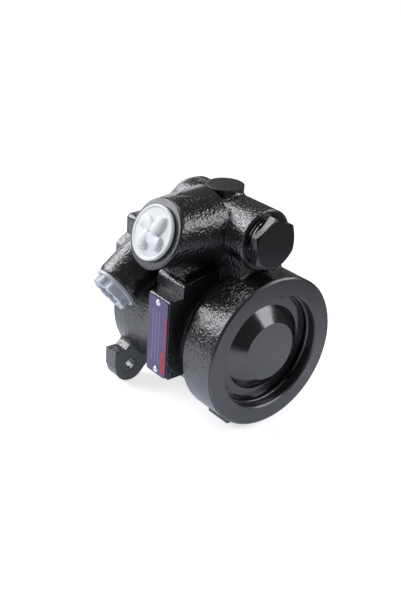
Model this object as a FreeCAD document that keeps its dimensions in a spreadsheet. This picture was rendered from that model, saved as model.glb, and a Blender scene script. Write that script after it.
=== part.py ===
"""Vane type power steering pump with a built in flow control valve.

Frame: millimetres, +Z up. The shaft lies along Y. The origin is the middle of the
locating spigot in the plane of the mounting face, the drive end is at +Y and the
sunk rear cover at -Y. The nameplate and both ports are on the -X side.
"""
import FreeCAD, Part
import Sketcher
import math
import os
from FreeCAD import Placement, Rotation, Vector

# Driving dimensions in millimetres and degrees, grouped by the piece they belong to.
SIZES = {
    # housing: barrel, neck, flange
    "body_length": 101.0,
    "barrel_radius": 49.0,
    "barrel_length": 26.0,
    "barrel_edge": 1.2,
    "shoulder_round": 4.0,
    "shoulder_drop": 6.0,
    "neck_flare": 20.0,
    "flange_thickness": 11.0,
    "flange_drop": 3.0,
    "spigot_radius": 35.0,
    "spigot_length": 6.0,
    "bolt_circle_reach": 10.0,
    "bolt_hole_radius": 4.5,
    "ear_radius": 11.5,
    "ear_heel": 12.2,
    "upper_hole_side": 34.5,
    "upper_hole_height": 41.0,
    "upper_hole_radius": 4.25,
    "upper_ear_side": 10.9,
    "upper_ear_top": 9.9,
    "upper_ear_width": 25.4,
    "upper_ear_root": 20.0,
    "cast_fillet": 2.5,
    # housing: valve boss and the web under it
    "plug_ring_gap": 2.657,
    "valve_boss_radius": 19.0,
    "valve_boss_setback": 14.0,
    "valve_boss_round": 9.0,
    "web_inset": 2.6,
    "web_setback": 1.6,
    "stop_block_left": 37.5,
    "stop_block_drop": 4.9,
    "stop_block_round": 3.0,
    # housing: ports
    "port_spacing": 28.0,
    "port_a_left": 51.9,
    "port_a_rise": 2.3,
    "port_a_tilt": 24.0,
    "port_a_boss_radius": 21.4,
    "port_a_root_radius": 24.3,
    "port_a_root_left": 15.0,
    "port_a_face_lip": 0.8,
    "port_a_gusset_rise": 8.4,
    "port_a_gusset_depth": 9.0,
    "port_b_station": 21.0,
    "port_b_tilt": 35.0,
    "port_b_reach": 71.5,
    "port_b_boss_radius": 15.4,
    "port_a_thread_radius": 12.25,
    "port_a_thread_end": 19.0,
    "port_a_mouth_radius": 13.2,
    "port_a_mouth_depth": 7.0,
    "port_b_thread_radius": 8.25,
    "port_b_thread_end": 16.0,
    "port_b_mouth_radius": 9.2,
    "port_b_mouth_depth": 6.0,
    "suction_way_radius": 8.0,
    "pressure_way_radius": 5.0,
    # housing: top boss, side block, nameplate pad, foot
    "top_boss_radius": 11.4,
    "top_boss_rise": 22.8,
    "top_boss_offset": 1.0,
    "side_block_inset": 5.0,
    "side_block_top": 42.6,
    "side_block_slope": 7.0,
    "side_block_back": 42.0,
    "pad_stand": 5.0,
    "pad_top": 34.0,
    "pad_bottom": 18.5,
    "pad_front": 67.5,
    "pad_back": 47.8,
    "pad_round": 2.0,
    "foot_half_width": 21.0,
    "foot_stand": 0.9,
    "foot_start": 12.0,
    "foot_length": 18.0,
    # housing: bore of the barrel
    "barrel_wall": 12.2,
    "bore_chamfer": 0.9,
    "bore_share": 0.544554,
    # rear cover and its ring
    "cover_cone_width": 9.1,
    "cover_boss_inset": 2.0,
    "cover_cone_inset": 8.8,
    "cover_land_inset": 8.4,
    "cover_land_edge": 3.8,
    "cover_step_edge": 1.6,
    "cover_step_depth": 1.4,
    "cover_back_inset": 18.0,
    "cover_clearance": 0.1,
    "cover_cup_wall": 10.8,
    "cover_cup_inset": 15.0,
    "ring_wire_radius": 1.3,
    "ring_gap_angle": 12.0,
    "ring_gap_at": 54.0,
    "seal_wire_radius": 1.5,
    # pump cartridge
    "plate_thickness": 8.0,
    "cartridge_inset": 19.0,
    "cartridge_clearance": 0.2,
    "cam_wall": 5.8,
    "cam_throw": 3.0,
    "rotor_gap": 0.5,
    "rotor_clearance": 0.05,
    "spline_count": 12.0,
    "spline_depth": 0.9,
    "spline_half_width": 0.9,
    "spline_clearance": 0.03,
    "kidney_angle": 56.0,
    "kidney_width": 5.4,
    "kidney_inset": 1.0,
    "vane_count": 10.0,
    "vane_thickness": 1.8,
    "vane_length": 9.0,
    "vane_clearance": 0.05,
    "vane_stand": 0.2,
    "vane_spare_depth": 1.0,
    "vane_first_angle": 18.0,
    "pin_radius": 2.0,
    "pin_circle_inset": 5.4,
    "pin_end_depth": 4.0,
    "disc_spring_thickness": 1.5,
    "disc_spring_share": 0.56,
    "disc_spring_gap": 1.0,
    # shaft line
    "shaft_rear_radius": 7.5,
    "shaft_mid_radius": 9.0,
    "shaft_seat_radius": 10.0,
    "shaft_tip_radius": 8.0,
    "taper_start": 6.5,
    "taper_length": 20.0,
    "thread_radius": 7.0,
    "thread_length": 15.0,
    "shaft_collar_radius": 12.5,
    "shaft_collar_length": 1.6,
    "running_clearance": 0.05,
    "plate_bore_clearance": 0.4,
    "front_bush_radius": 11.0,
    "front_bush_gap": 5.4,
    "rear_bush_radius": 9.0,
    "bearing_radius": 23.5,
    "bearing_width": 14.0,
    "bearing_back": 12.0,
    "inner_race_radius": 13.6,
    "outer_race_bore": 19.9,
    "ball_radius": 3.9,
    "ball_count": 8.0,
    "ball_clearance": 0.3,
    "seal_radius": 17.5,
    "seal_width": 8.0,
    "circlip_width": 1.75,
    "circlip_groove_depth": 1.25,
    "circlip_gap_angle": 30.0,
    "key_width": 4.0,
    "key_radius": 8.0,
    "key_height": 6.5,
    "key_stand": 1.6,
    "key_back": 16.5,
    "washer_radius": 11.5,
    "washer_thickness": 2.5,
    "nut_flats": 22.0,
    "nut_height": 8.0,
    "rotor_clip_thickness": 1.2,
    "rotor_clip_depth": 1.2,
    "rotor_clip_width": 2.8,
    "rotor_clip_recess": 1.6,
    # valve parts
    "valve_bore_radius": 10.0,
    "valve_bore_end": 15.0,
    "plug_thread_radius": 12.0,
    "plug_thread_depth": 15.0,
    "plug_flats": 29.0,
    "plug_hex_height": 5.2,
    "plug_hex_turn": 35.5,
    "plug_collar_radius": 15.6,
    "plug_collar_height": 1.6,
    "plug_washer_radius": 16.6,
    "plug_washer_thickness": 1.5,
    "plug_nose_radius": 6.0,
    "plug_nose_length": 3.0,
    "spool_clearance": 0.03,
    "spool_length": 30.0,
    "spool_groove_depth": 2.0,
    "spool_groove_width": 7.0,
    "spool_cup_radius": 7.6,
    "spool_cup_depth": 6.0,
    "valve_spring_radius": 6.2,
    "valve_spring_wire": 0.9,
    "valve_spring_turns": 6.0,
    "relief_bore_radius": 4.0,
    "relief_seat_radius": 1.8,
    "relief_seat_depth": 20.0,
    "relief_ball_radius": 2.5,
    "relief_spring_radius": 2.6,
    "relief_spring_wire": 0.45,
    "relief_spring_turns": 4.0,
    "relief_screw_length": 4.0,
    # port caps
    "cap_a_radius": 16.6,
    "cap_a_thickness": 2.6,
    "cap_a_stand_off": 0.4,
    "cap_a_grip_core": 4.0,
    "cap_a_grip_height": 2.4,
    "cap_a_lobe_radius": 2.8,
    "cap_a_lobe_reach": 9.6,
    "cap_a_lobes": 3.0,
    "cap_b_radius": 14.8,
    "cap_b_thickness": 2.2,
    "cap_b_stand_off": 0.4,
    "cap_b_grip_core": 10.8,
    "cap_b_grip_height": 5.4,
    "cap_b_lobe_radius": 3.0,
    "cap_b_lobe_reach": 10.2,
    "cap_b_lobes": 9.0,
    "cap_wall": 1.6,
    "cap_shank_clearance": 0.08,
    "cap_edge": 0.6,
    "cap_shank_length_a": 6.0,
    "cap_shank_length_b": 5.0,
    # nameplate
    "plate_gauge": 0.8,
    "plate_edge": 0.7,
    "plate_round": 1.6,
    "rivet_head_radius": 2.0,
    "rivet_head_height": 1.1,
    "rivet_shank_radius": 1.2,
    "rivet_shank_length": 5.0,
    "rivet_inset": 3.6,
}


class Size:
    """A length with its value and the spreadsheet formula that gives the same value."""

    def __init__(self, value, formula):
        self.value = float(value)
        self.formula = formula

    def _join(self, other, sign, value):
        return Size(value, "(%s %s %s)" % (self.formula, sign, formula_of(other)))

    def __add__(self, other):
        return self._join(other, "+", self.value + float(other))

    def __radd__(self, other):
        return Size(float(other), formula_of(other)) + self

    def __sub__(self, other):
        return self._join(other, "-", self.value - float(other))

    def __rsub__(self, other):
        return Size(float(other), formula_of(other)) - self

    def __mul__(self, other):
        return self._join(other, "*", self.value * float(other))

    def __rmul__(self, other):
        return self * other

    def __truediv__(self, other):
        return self._join(other, "/", self.value / float(other))

    def __neg__(self):
        return self * -1

    def __float__(self):
        return self.value


def formula_of(size):
    """Give the spreadsheet formula of a size, or a plain number as text."""
    return size.formula if isinstance(size, Size) else repr(float(size))


class Sheet:
    """The spreadsheet of driving dimensions; each one reads as a Size attribute."""

    def __init__(self, doc, sizes):
        self._sheet = doc.addObject("Spreadsheet::Sheet", "dims")
        for row, (name, value) in enumerate(sizes.items(), start=1):
            self._sheet.set("A%d" % row, name.replace("_", " "))
            self._sheet.set("B%d" % row, str(value))
            self._sheet.setAlias("B%d" % row, name)
            setattr(self, name, Size(value, "dims." + name))


doc = FreeCAD.newDocument("steering_pump")
dim = Sheet(doc, SIZES)
doc.recompute()
made = []

# Lengths that follow from the driving ones.
dim.neck_radius = dim.barrel_radius - dim.shoulder_drop
dim.flange_radius = dim.barrel_radius - dim.flange_drop
dim.bolt_circle_radius = dim.flange_radius + dim.bolt_circle_reach
dim.valve_height = dim.barrel_radius + dim.plug_flats / math.sqrt(3) + dim.plug_ring_gap
dim.web_half_width = dim.valve_boss_radius - dim.web_inset
dim.stop_block_top = dim.valve_height - dim.stop_block_drop
dim.port_a_height = dim.valve_height + dim.port_a_rise
dim.top_boss_height = dim.valve_height + dim.top_boss_rise
dim.side_block_left = dim.barrel_radius - dim.side_block_inset
dim.pad_left = dim.barrel_radius + dim.pad_stand
dim.foot_drop = dim.barrel_radius + dim.foot_stand
dim.bore_radius = dim.barrel_radius - dim.barrel_wall
dim.bore_depth = dim.body_length * dim.bore_share
dim.cam_thickness = dim.bore_depth - dim.plate_thickness * 2 - dim.cartridge_inset
dim.cover_step_radius = dim.bore_radius - dim.cover_step_edge
dim.cover_land_radius = dim.bore_radius - dim.cover_land_edge
dim.cover_cone_radius = dim.bore_radius - dim.cover_cone_inset
dim.cover_boss_radius = dim.cover_cone_radius - dim.cover_cone_width
dim.cover_cup_radius = dim.bore_radius - dim.cover_cup_wall
dim.disc_spring_outer = dim.cover_cup_radius - dim.disc_spring_gap
dim.disc_spring_inner = dim.disc_spring_outer * dim.disc_spring_share
dim.cam_major_radius = dim.bore_radius - dim.cam_wall
dim.cam_minor_radius = dim.cam_major_radius - dim.cam_throw
dim.rotor_radius = dim.cam_minor_radius - dim.rotor_gap
dim.vane_retracted = dim.rotor_radius + dim.vane_stand
dim.pin_circle_radius = dim.bore_radius - dim.pin_circle_inset

# Stations along the shaft, counted from the mounting face.
ring_face = -dim.body_length
shoulder = ring_face + dim.barrel_length
flange_front = -dim.flange_thickness
bore_bottom = ring_face + dim.bore_depth
port_plate_back = bore_bottom
port_plate_front = port_plate_back - dim.plate_thickness
cam_front = port_plate_front - dim.cam_thickness
pressure_plate_front = cam_front - dim.plate_thickness
cover_land = ring_face + dim.cover_land_inset
cover_back = ring_face + dim.cover_back_inset
cover_cup = ring_face + dim.cover_cup_inset
ring_station = cover_land - dim.ring_wire_radius
bearing_start = -dim.bearing_back
bearing_end = bearing_start + dim.bearing_width
collar_start = bearing_start - dim.shaft_collar_length
seal_end = collar_start - 1.0
seal_start = seal_end - dim.seal_width
bush_start = bore_bottom + 2.0
bush_end = seal_start - dim.front_bush_gap
shaft_rear_end = pressure_plate_front + 1.0
taper_end = dim.taper_start + dim.taper_length
shaft_end = taper_end + dim.thread_length
# Stations along the flow control valve.
valve_front = ring_face + dim.valve_boss_setback
valve_back = -dim.valve_bore_end
spool_front = valve_front + dim.plug_thread_depth + dim.plug_nose_length
spool_back = spool_front + dim.spool_length
# The ports.
port_b_y = -dim.port_b_station
port_a_y = port_b_y - dim.port_spacing
top_boss_y = port_a_y + dim.top_boss_offset
PORT_A = math.radians(SIZES["port_a_tilt"])
PORT_B = -math.radians(SIZES["port_b_tilt"])
FRONT_GAP = 0.05


def new_body(label):
    """Start a sub-part as a PartDesign body with its own label."""
    body = doc.addObject("PartDesign::Body", label)
    body.Label = label
    made.append(body)
    return body


def origin_plane(body, role):
    """Find one of the body's own origin planes by its role."""
    return next(item for item in body.Origin.OriginFeatures if item.Role == role)


def bind(item, path, size):
    """Tie one property of an object to the sheet."""
    if isinstance(size, Size):
        item.setExpression(path, size.formula)


def new_sketch(body, name, role, base=(0, 0, 0), turn=None, about=Vector(0, 0, 1)):
    """Add a sketch on an origin plane, moved and turned in that plane's own axes."""
    sketch = body.newObject("Sketcher::SketchObject", name)
    sketch.AttachmentSupport = (origin_plane(body, role), [""])
    sketch.MapMode = "FlatFace"
    angle = 0.0 if turn is None else float(turn)
    sketch.AttachmentOffset = Placement(Vector(*[float(part) for part in base]), Rotation(about, angle))
    for axis, size in zip("xyz", base):
        bind(sketch, "AttachmentOffset.Base." + axis, size)
    bind(sketch, "AttachmentOffset.Rotation.Angle", turn)
    return sketch


def fix(sketch, kind, where, size):
    """Add one dimension to a sketch and tie it to the sheet."""
    index = sketch.addConstraint(Sketcher.Constraint(kind, *where, float(size)))
    bind(sketch, "Constraints[%d]" % index, size)


def add_outline(sketch, points):
    """Draw a closed outline of straight lines whose corners follow the sheet."""
    corners = [Vector(float(across), float(up), 0) for across, up in points]
    count = len(corners)
    lines = [
        sketch.addGeometry(Part.LineSegment(corners[i], corners[(i + 1) % count]), False)
        for i in range(count)
    ]
    for i in range(count):
        sketch.addConstraint(Sketcher.Constraint("Coincident", lines[i], 2, lines[(i + 1) % count], 1))
    for line, (across, up) in zip(lines, points):
        fix(sketch, "DistanceX", (-1, 1, line, 1), across)
        fix(sketch, "DistanceY", (-1, 1, line, 1), up)
    return sketch


def add_circle(sketch, across, up, radius):
    """Draw a circle whose middle and radius follow the sheet."""
    middle = Vector(float(across), float(up), 0)
    circle = sketch.addGeometry(Part.Circle(middle, Vector(0, 0, 1), float(radius)), False)
    fix(sketch, "Radius", (circle,), radius)
    fix(sketch, "DistanceX", (-1, 1, circle, 3), across)
    fix(sketch, "DistanceY", (-1, 1, circle, 3), up)
    return sketch


def revolve(body, name, sketch, cut=False, angle=None):
    """Turn a profile about its sketch's own vertical axis, as material or as a cut."""
    kind = "PartDesign::Groove" if cut else "PartDesign::Revolution"
    feature = body.newObject(kind, name)
    feature.Profile = sketch
    feature.ReferenceAxis = (sketch, ["V_Axis"])
    feature.Angle = 360.0 if angle is None else float(angle)
    bind(feature, "Angle", angle)
    return feature


def extrude(body, name, sketch, length, cut=False, both=False):
    """Extrude a sketch against its normal, or cut along that same way.

    A sketch on the XZ plane has its normal along -Y, so this runs towards +Y.
    """
    feature = body.newObject("PartDesign::Pocket" if cut else "PartDesign::Pad", name)
    feature.Profile = sketch
    feature.Length = float(length)
    bind(feature, "Length", length)
    if both:
        feature.Midplane = True
    else:
        feature.Reversed = not cut
    return feature


def section(body, name, across_shaft_at, turn=None):
    """Add a sketch square to the shaft at the given station, turned about the shaft."""
    return new_sketch(body, name, "XZ_Plane", (0, 0, -across_shaft_at), turn)


def round_edges(body, name, radius, wanted, chamfer=False):
    """Round or chamfer the edges of the body so far that the test picks out."""
    doc.recompute()
    base = body.Tip
    names = ["Edge%d" % (i + 1) for i, edge in enumerate(base.Shape.Edges) if wanted(edge)]
    if not names:
        raise RuntimeError("no edge found for " + name)
    feature = body.newObject("PartDesign::Chamfer" if chamfer else "PartDesign::Fillet", name)
    feature.Base = (base, names)
    if chamfer:
        feature.Size = float(radius)
        bind(feature, "Size", radius)
    else:
        feature.Radius = float(radius)
        bind(feature, "Radius", radius)
    return feature


def polar_pattern(body, name, features, count, role="Y_Axis"):
    """Repeat features about one of the body's own axes."""
    doc.recompute()
    pattern = body.newObject("PartDesign::PolarPattern", name)
    pattern.Originals = features
    pattern.Axis = (origin_plane(body, role), [""])
    pattern.Angle = 360.0
    pattern.Occurrences = int(round(float(count)))
    body.Tip = pattern
    return pattern


def turned(label, profile, angle=None, turn=None, base=(0, 0, 0), role="XY_Plane"):
    """Make a sub-part as one turned profile of (radius, station) points."""
    body = new_body(label)
    sketch = new_sketch(body, label + "_profile", role, base, turn)
    add_outline(sketch, profile)
    revolve(body, label + "_turned", sketch, angle=angle)
    return body


def near(value, target, slack=0.02):
    """Tell whether two numbers agree within a small slack."""
    return abs(value - float(target)) < slack


def along_y(edge):
    """Tell whether an edge is a straight line parallel to the shaft."""
    if edge.Curve.TypeId != "Part::GeomLine":
        return False
    return abs(abs(edge.Curve.Direction.y) - 1) < 1e-6


def corner_at(across, up):
    """Give a test for the straight edge along the shaft through one corner."""
    def test(edge):
        if not along_y(edge):
            return False
        end = edge.Vertexes[0].Point
        return near(end.x, across) and near(end.z, up)
    return test


def ring_edge(radius, station):
    """Give a test for the round edges about the shaft at one station."""
    def test(edge):
        if edge.Curve.TypeId != "Part::GeomCircle" or not near(edge.Curve.Radius, radius):
            return False
        middle = edge.Curve.Center
        return near(middle.x, 0) and near(middle.z, 0) and near(middle.y, station)
    return test


def through(*points):
    """Give a test for the edges that pass through any of the given points."""
    spots = [Part.Vertex(*[float(part) for part in point]) for point in points]

    def test(edge):
        return any(edge.distToShape(spot)[0] < 0.03 for spot in spots)
    return test


def either(*tests):
    """Join several edge tests into one."""
    return lambda edge: any(test(edge) for test in tests)


def port_sketch(body, name, tilt, left, height, station):
    """Add a sketch in the plane of a port's axis, its vertical axis pointing out of the port."""
    return new_sketch(body, name, "XZ_Plane", (-left, height, -station), 90 - tilt)


def square_to_port(body, name, tilt, left, height, station, out_by):
    """Add a sketch square to a port's axis, at a distance out along that axis."""
    angle = math.radians(float(tilt))
    base = (station, height + out_by * math.sin(angle), -left - out_by * math.cos(angle))
    return new_sketch(body, name, "YZ_Plane", base, tilt, Vector(1, 0, 0))


def build_housing():
    """Model the iron casting and machine its bores."""
    body = new_body("housing")
    sketch = new_sketch(body, "barrel_profile", "XY_Plane")
    add_outline(sketch, [
        (0, ring_face),
        (dim.barrel_radius - dim.barrel_edge, ring_face),
        (dim.barrel_radius, ring_face + dim.barrel_edge),
        (dim.barrel_radius, shoulder),
        (dim.neck_radius, shoulder + (dim.barrel_radius - dim.neck_radius)),
        (dim.neck_radius, flange_front - dim.neck_flare),
        (dim.flange_radius, flange_front),
        (dim.flange_radius, 0),
        (dim.spigot_radius, 0),
        (dim.spigot_radius, dim.spigot_length - 1.0),
        (dim.spigot_radius - 1.0, dim.spigot_length),
        (0, dim.spigot_length),
    ])
    revolve(body, "barrel", sketch)
    round_edges(body, "shoulder_fillet", dim.shoulder_round, ring_edge(dim.barrel_radius, shoulder))

    # Two round ears at the bottom of the flange and two cropped ones at its top.
    for side, turn in (("left", 225), ("right", 315)):
        sketch = section(body, side + "_ear_outline", flange_front, turn)
        add_outline(sketch, [
            (0, -dim.ear_radius),
            (dim.bolt_circle_radius, -dim.ear_radius),
            (dim.bolt_circle_radius, dim.ear_radius),
            (0, dim.ear_radius),
        ])
        extrude(body, side + "_ear", sketch, dim.flange_thickness)
        sketch = section(body, side + "_ear_end_outline", flange_front, turn)
        add_circle(sketch, dim.bolt_circle_radius, 0, dim.ear_radius)
        extrude(body, side + "_ear_end", sketch, dim.flange_thickness)
    across = dim.upper_hole_side + dim.upper_ear_side
    top = dim.upper_hole_height + dim.upper_ear_top
    for side, sign in (("left", -1), ("right", 1)):
        sketch = section(body, side + "_upper_ear_outline", flange_front)
        add_outline(sketch, [
            (across * sign, dim.upper_hole_height - 8.0),
            (across * sign, top - 5.5),
            ((across - 2.2) * sign, top - 3.0),
            ((across - 7.4) * sign, top),
            ((across - dim.upper_ear_width) * sign, top),
            ((across - dim.upper_ear_width) * sign, dim.upper_hole_height - dim.upper_ear_root),
            (dim.upper_hole_side * sign, dim.upper_hole_height - dim.upper_ear_root * 0.8),
        ])
        extrude(body, side + "_upper_ear", sketch, dim.flange_thickness)

    # The lower left ear has a squared heel, and a stop block stands above the upper left ear.
    bolt_offset = dim.bolt_circle_radius * math.sqrt(0.5)
    sketch = section(body, "heel_outline", flange_front)
    add_outline(sketch, [
        (-bolt_offset - dim.ear_heel, -bolt_offset + dim.ear_heel),
        (-bolt_offset - dim.ear_heel, -bolt_offset + 0.5),
        (-bolt_offset - dim.ear_radius * 0.62, -bolt_offset - dim.ear_radius * 0.8),
        (-bolt_offset, -bolt_offset),
        (-bolt_offset + dim.ear_heel, -bolt_offset + dim.ear_heel),
    ])
    extrude(body, "heel", sketch, dim.flange_thickness)
    sketch = section(body, "stop_block_outline", flange_front)
    add_outline(sketch, [
        (-dim.stop_block_left, dim.upper_hole_height),
        (-dim.stop_block_left, dim.stop_block_top),
        (-dim.web_half_width + 3.0, dim.stop_block_top),
        (-dim.web_half_width + 3.0, dim.upper_hole_height),
    ])
    extrude(body, "stop_block", sketch, dim.flange_thickness)
    round_edges(body, "stop_block_fillet", dim.stop_block_round,
                corner_at(-dim.stop_block_left, dim.stop_block_top))

    # The stepped block that carries the nameplate pad.
    sketch = section(body, "side_block_outline", -dim.pad_front)
    add_outline(sketch, [
        (-dim.side_block_left, -dim.pad_bottom),
        (-dim.side_block_left, dim.side_block_top),
        (0, dim.side_block_top + dim.side_block_slope),
        (0, -dim.pad_bottom),
    ])
    extrude(body, "side_block", sketch, dim.pad_front - dim.side_block_back)
    round_edges(body, "side_block_fillet", dim.pad_round * 2,
                corner_at(-dim.side_block_left, dim.side_block_top))
    sketch = section(body, "pad_outline", -dim.pad_front)
    add_outline(sketch, [
        (-dim.pad_left, -dim.pad_bottom),
        (-dim.pad_left, dim.pad_top),
        (0, dim.pad_top),
        (0, -dim.pad_bottom),
    ])
    extrude(body, "nameplate_pad", sketch, dim.pad_front - dim.pad_back)
    round_edges(body, "pad_fillet", dim.pad_round, either(
        corner_at(-dim.pad_left, dim.pad_top), corner_at(-dim.pad_left, -dim.pad_bottom)))

    # The web between the barrel and the valve boss, and the boss itself.
    web_front = valve_front + dim.web_setback
    sketch = section(body, "web_outline", web_front)
    add_outline(sketch, [
        (-dim.web_half_width, 0),
        (-dim.web_half_width, dim.valve_height),
        (dim.web_half_width, dim.valve_height),
        (dim.web_half_width, 0),
    ])
    extrude(body, "web", sketch, flange_front - dim.valve_boss_round - web_front)
    sketch = new_sketch(body, "valve_boss_profile", "XY_Plane", (0, 0, dim.valve_height))
    add_outline(sketch, [
        (0, valve_front),
        (dim.valve_boss_radius - 1.0, valve_front),
        (dim.valve_boss_radius, valve_front + 1.0),
        (dim.valve_boss_radius, flange_front - dim.valve_boss_round),
        (dim.valve_boss_radius - dim.valve_boss_round * 0.3, flange_front - dim.valve_boss_round * 0.3),
        (dim.valve_boss_radius - dim.valve_boss_round, flange_front),
        (0, flange_front),
    ])
    revolve(body, "valve_boss", sketch)
    sketch = new_sketch(body, "top_boss_outline", "XY_Plane", (0, 0, dim.valve_height))
    add_circle(sketch, 0, top_boss_y, dim.top_boss_radius)
    boss = body.newObject("PartDesign::Pad", "top_boss")
    boss.Profile = sketch
    boss.Length = float(dim.top_boss_height - dim.valve_height)
    bind(boss, "Length", dim.top_boss_height - dim.valve_height)

    # The large port boss flares from its tilted face to a root square to the X axis.
    face = new_sketch(body, "port_a_face", "YZ_Plane",
                      (port_a_y, dim.port_a_height, -dim.port_a_left), dim.port_a_tilt, Vector(1, 0, 0))
    add_circle(face, 0, 0, dim.port_a_boss_radius)
    root = new_sketch(body, "port_a_root", "YZ_Plane",
                      (port_a_y, dim.valve_height, -dim.port_a_root_left))
    add_circle(root, 0, 0, dim.port_a_root_radius)
    loft = body.newObject("PartDesign::AdditiveLoft", "port_a_boss")
    loft.Profile = face
    loft.Sections = [root]
    loft.Ruled = False
    sketch = port_sketch(body, "port_a_lip_profile", dim.port_a_tilt, dim.port_a_left,
                         dim.port_a_height, port_a_y)
    add_outline(sketch, [
        (0, 0),
        (dim.port_a_boss_radius, 0),
        (dim.port_a_boss_radius - dim.port_a_face_lip, dim.port_a_face_lip),
        (0, dim.port_a_face_lip),
    ])
    revolve(body, "port_a_lip", sketch)

    # A gusset fills the corner between the large port's boss and the side block.
    sketch = new_sketch(body, "gusset_outline", "YZ_Plane", (0, 0, -dim.side_block_left + dim.pad_round * 2))
    front = -dim.pad_front + 0.2
    points = [(front + dim.port_a_gusset_depth + 14.0, dim.side_block_top - 1.0), (front, dim.side_block_top - 1.0)]
    for number in range(6):
        angle = math.radians(18 * number)
        points.append((front + dim.port_a_gusset_depth * math.sin(angle),
                       dim.side_block_top + dim.port_a_gusset_rise * (1 - math.cos(angle))))
    points.append((front + dim.port_a_gusset_depth + 14.0, dim.side_block_top + dim.port_a_gusset_rise))
    add_outline(sketch, points)
    gusset = body.newObject("PartDesign::Pad", "gusset")
    gusset.Profile = sketch
    bind_values(gusset, {"Length": dim.side_block_left - dim.pad_round * 2 - dim.web_half_width + 1.0})

    # The small port boss comes straight out of the valve bore, with a ball shaped root.
    root = dim.port_b_boss_radius + 1.5
    sketch = port_sketch(body, "port_b_boss_profile", -dim.port_b_tilt, 0, dim.valve_height, port_b_y)
    add_outline(sketch, [
        (0, -root),
    ] + [
        (root * math.sin(math.radians(10 * number)), -root * math.cos(math.radians(10 * number)))
        for number in range(1, 9)
    ] + [
        (root, 0),
        (dim.port_b_boss_radius, dim.port_b_reach - 2.0),
        (dim.port_b_boss_radius - 0.8, dim.port_b_reach),
        (0, dim.port_b_reach),
    ])
    revolve(body, "port_b_boss", sketch)

    sketch = section(body, "foot_outline", ring_face + dim.foot_start)
    add_outline(sketch, [
        (-dim.foot_half_width, -dim.foot_drop),
        (-dim.foot_half_width, -dim.foot_drop / 2),
        (dim.foot_half_width, -dim.foot_drop / 2),
        (dim.foot_half_width, -dim.foot_drop),
    ])
    extrude(body, "foot", sketch, dim.foot_length)

    # Casting fillets where the forms run into each other.
    web = float(dim.web_half_width)
    boss_lift = math.sqrt(SIZES["valve_boss_radius"] ** 2 - web ** 2)
    web_top = float(dim.valve_height) - boss_lift
    middle = float(flange_front + valve_front) / 2
    neck_lift = math.sqrt(float(dim.neck_radius) ** 2 - web ** 2)
    barrel_lift = float(dim.barrel_radius)
    boss_top = math.sqrt(SIZES["valve_boss_radius"] ** 2 - SIZES["top_boss_radius"] ** 2)
    ear_line = math.sqrt(float(dim.flange_radius) ** 2 - SIZES["ear_radius"] ** 2)
    far = (SIZES["ear_radius"] + ear_line) * math.sqrt(0.5)
    close = (ear_line - SIZES["ear_radius"]) * math.sqrt(0.5)
    half = -SIZES["flange_thickness"] / 2
    foot = SIZES["foot_half_width"]
    foot_lift = -math.sqrt(barrel_lift ** 2 - foot ** 2)
    foot_start = float(ring_face + dim.foot_start)
    for name, points in (
        ("top_boss_root", [(SIZES["top_boss_radius"], top_boss_y,
                            float(dim.valve_height) + boss_top)]),
        ("web_top_right", [(web, middle, web_top)]),
        ("web_top_left", [(-web, valve_front + 5.0, web_top)]),
        ("web_foot_right", [(web, middle, neck_lift)]),
        ("web_front", [(0, web_front, barrel_lift)]),
        ("ear_roots", [(far, half, -close), (close, half, -far), (-close, half, -far), (-far, half, -close)]),
        ("foot_roots", [(-foot, foot_start + 4.0, foot_lift), (foot, foot_start + 4.0, foot_lift)]),
    ):
        round_edges(body, name, dim.cast_fillet, through(*points))

    # Main bore: ring groove, cartridge, front bush, seal, bearing and circlip groove.
    wall = dim.bore_radius
    groove = dim.bore_radius + dim.ring_wire_radius * 1.1
    clip_end = bearing_end + dim.circlip_width
    clip_groove = dim.bearing_radius + dim.circlip_groove_depth
    outside = ring_face - 5.0
    beyond = dim.spigot_length + 5.0
    sketch = new_sketch(body, "main_bore_profile", "XY_Plane")
    add_outline(sketch, [
        (0, outside),
        (wall + dim.bore_chamfer, outside),
        (wall + dim.bore_chamfer, ring_face),
        (wall, ring_face + dim.bore_chamfer),
        (wall, ring_station - dim.ring_wire_radius),
        (groove, ring_station - dim.ring_wire_radius),
        (groove, ring_station + dim.ring_wire_radius),
        (wall, ring_station + dim.ring_wire_radius),
        (wall, bore_bottom),
        (dim.front_bush_radius, bore_bottom),
        (dim.front_bush_radius, bush_end),
        (dim.shaft_collar_radius + 0.5, bush_end),
        (dim.shaft_collar_radius + 0.5, seal_start),
        (dim.seal_radius, seal_start),
        (dim.seal_radius, bearing_start),
        (dim.bearing_radius, bearing_start),
        (dim.bearing_radius, bearing_end),
        (clip_groove, bearing_end),
        (clip_groove, clip_end),
        (dim.bearing_radius, clip_end),
        (dim.bearing_radius, beyond),
        (0, beyond),
    ])
    revolve(body, "main_bore", sketch, cut=True)

    # Valve bore with its threaded mouth.
    sketch = new_sketch(body, "valve_bore_profile", "XY_Plane", (0, 0, dim.valve_height))
    add_outline(sketch, [
        (0, valve_front - 5.0),
        (dim.plug_thread_radius + 1.0, valve_front - 5.0),
        (dim.plug_thread_radius + 1.0, valve_front),
        (dim.plug_thread_radius, valve_front + 1.0),
        (dim.plug_thread_radius, valve_front + dim.plug_thread_depth + 2.0),
        (dim.valve_bore_radius, valve_front + dim.plug_thread_depth + 2.0 + 1.5),
        (dim.valve_bore_radius, valve_back),
        (0, valve_back),
    ])
    revolve(body, "valve_bore", sketch, cut=True)

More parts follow.
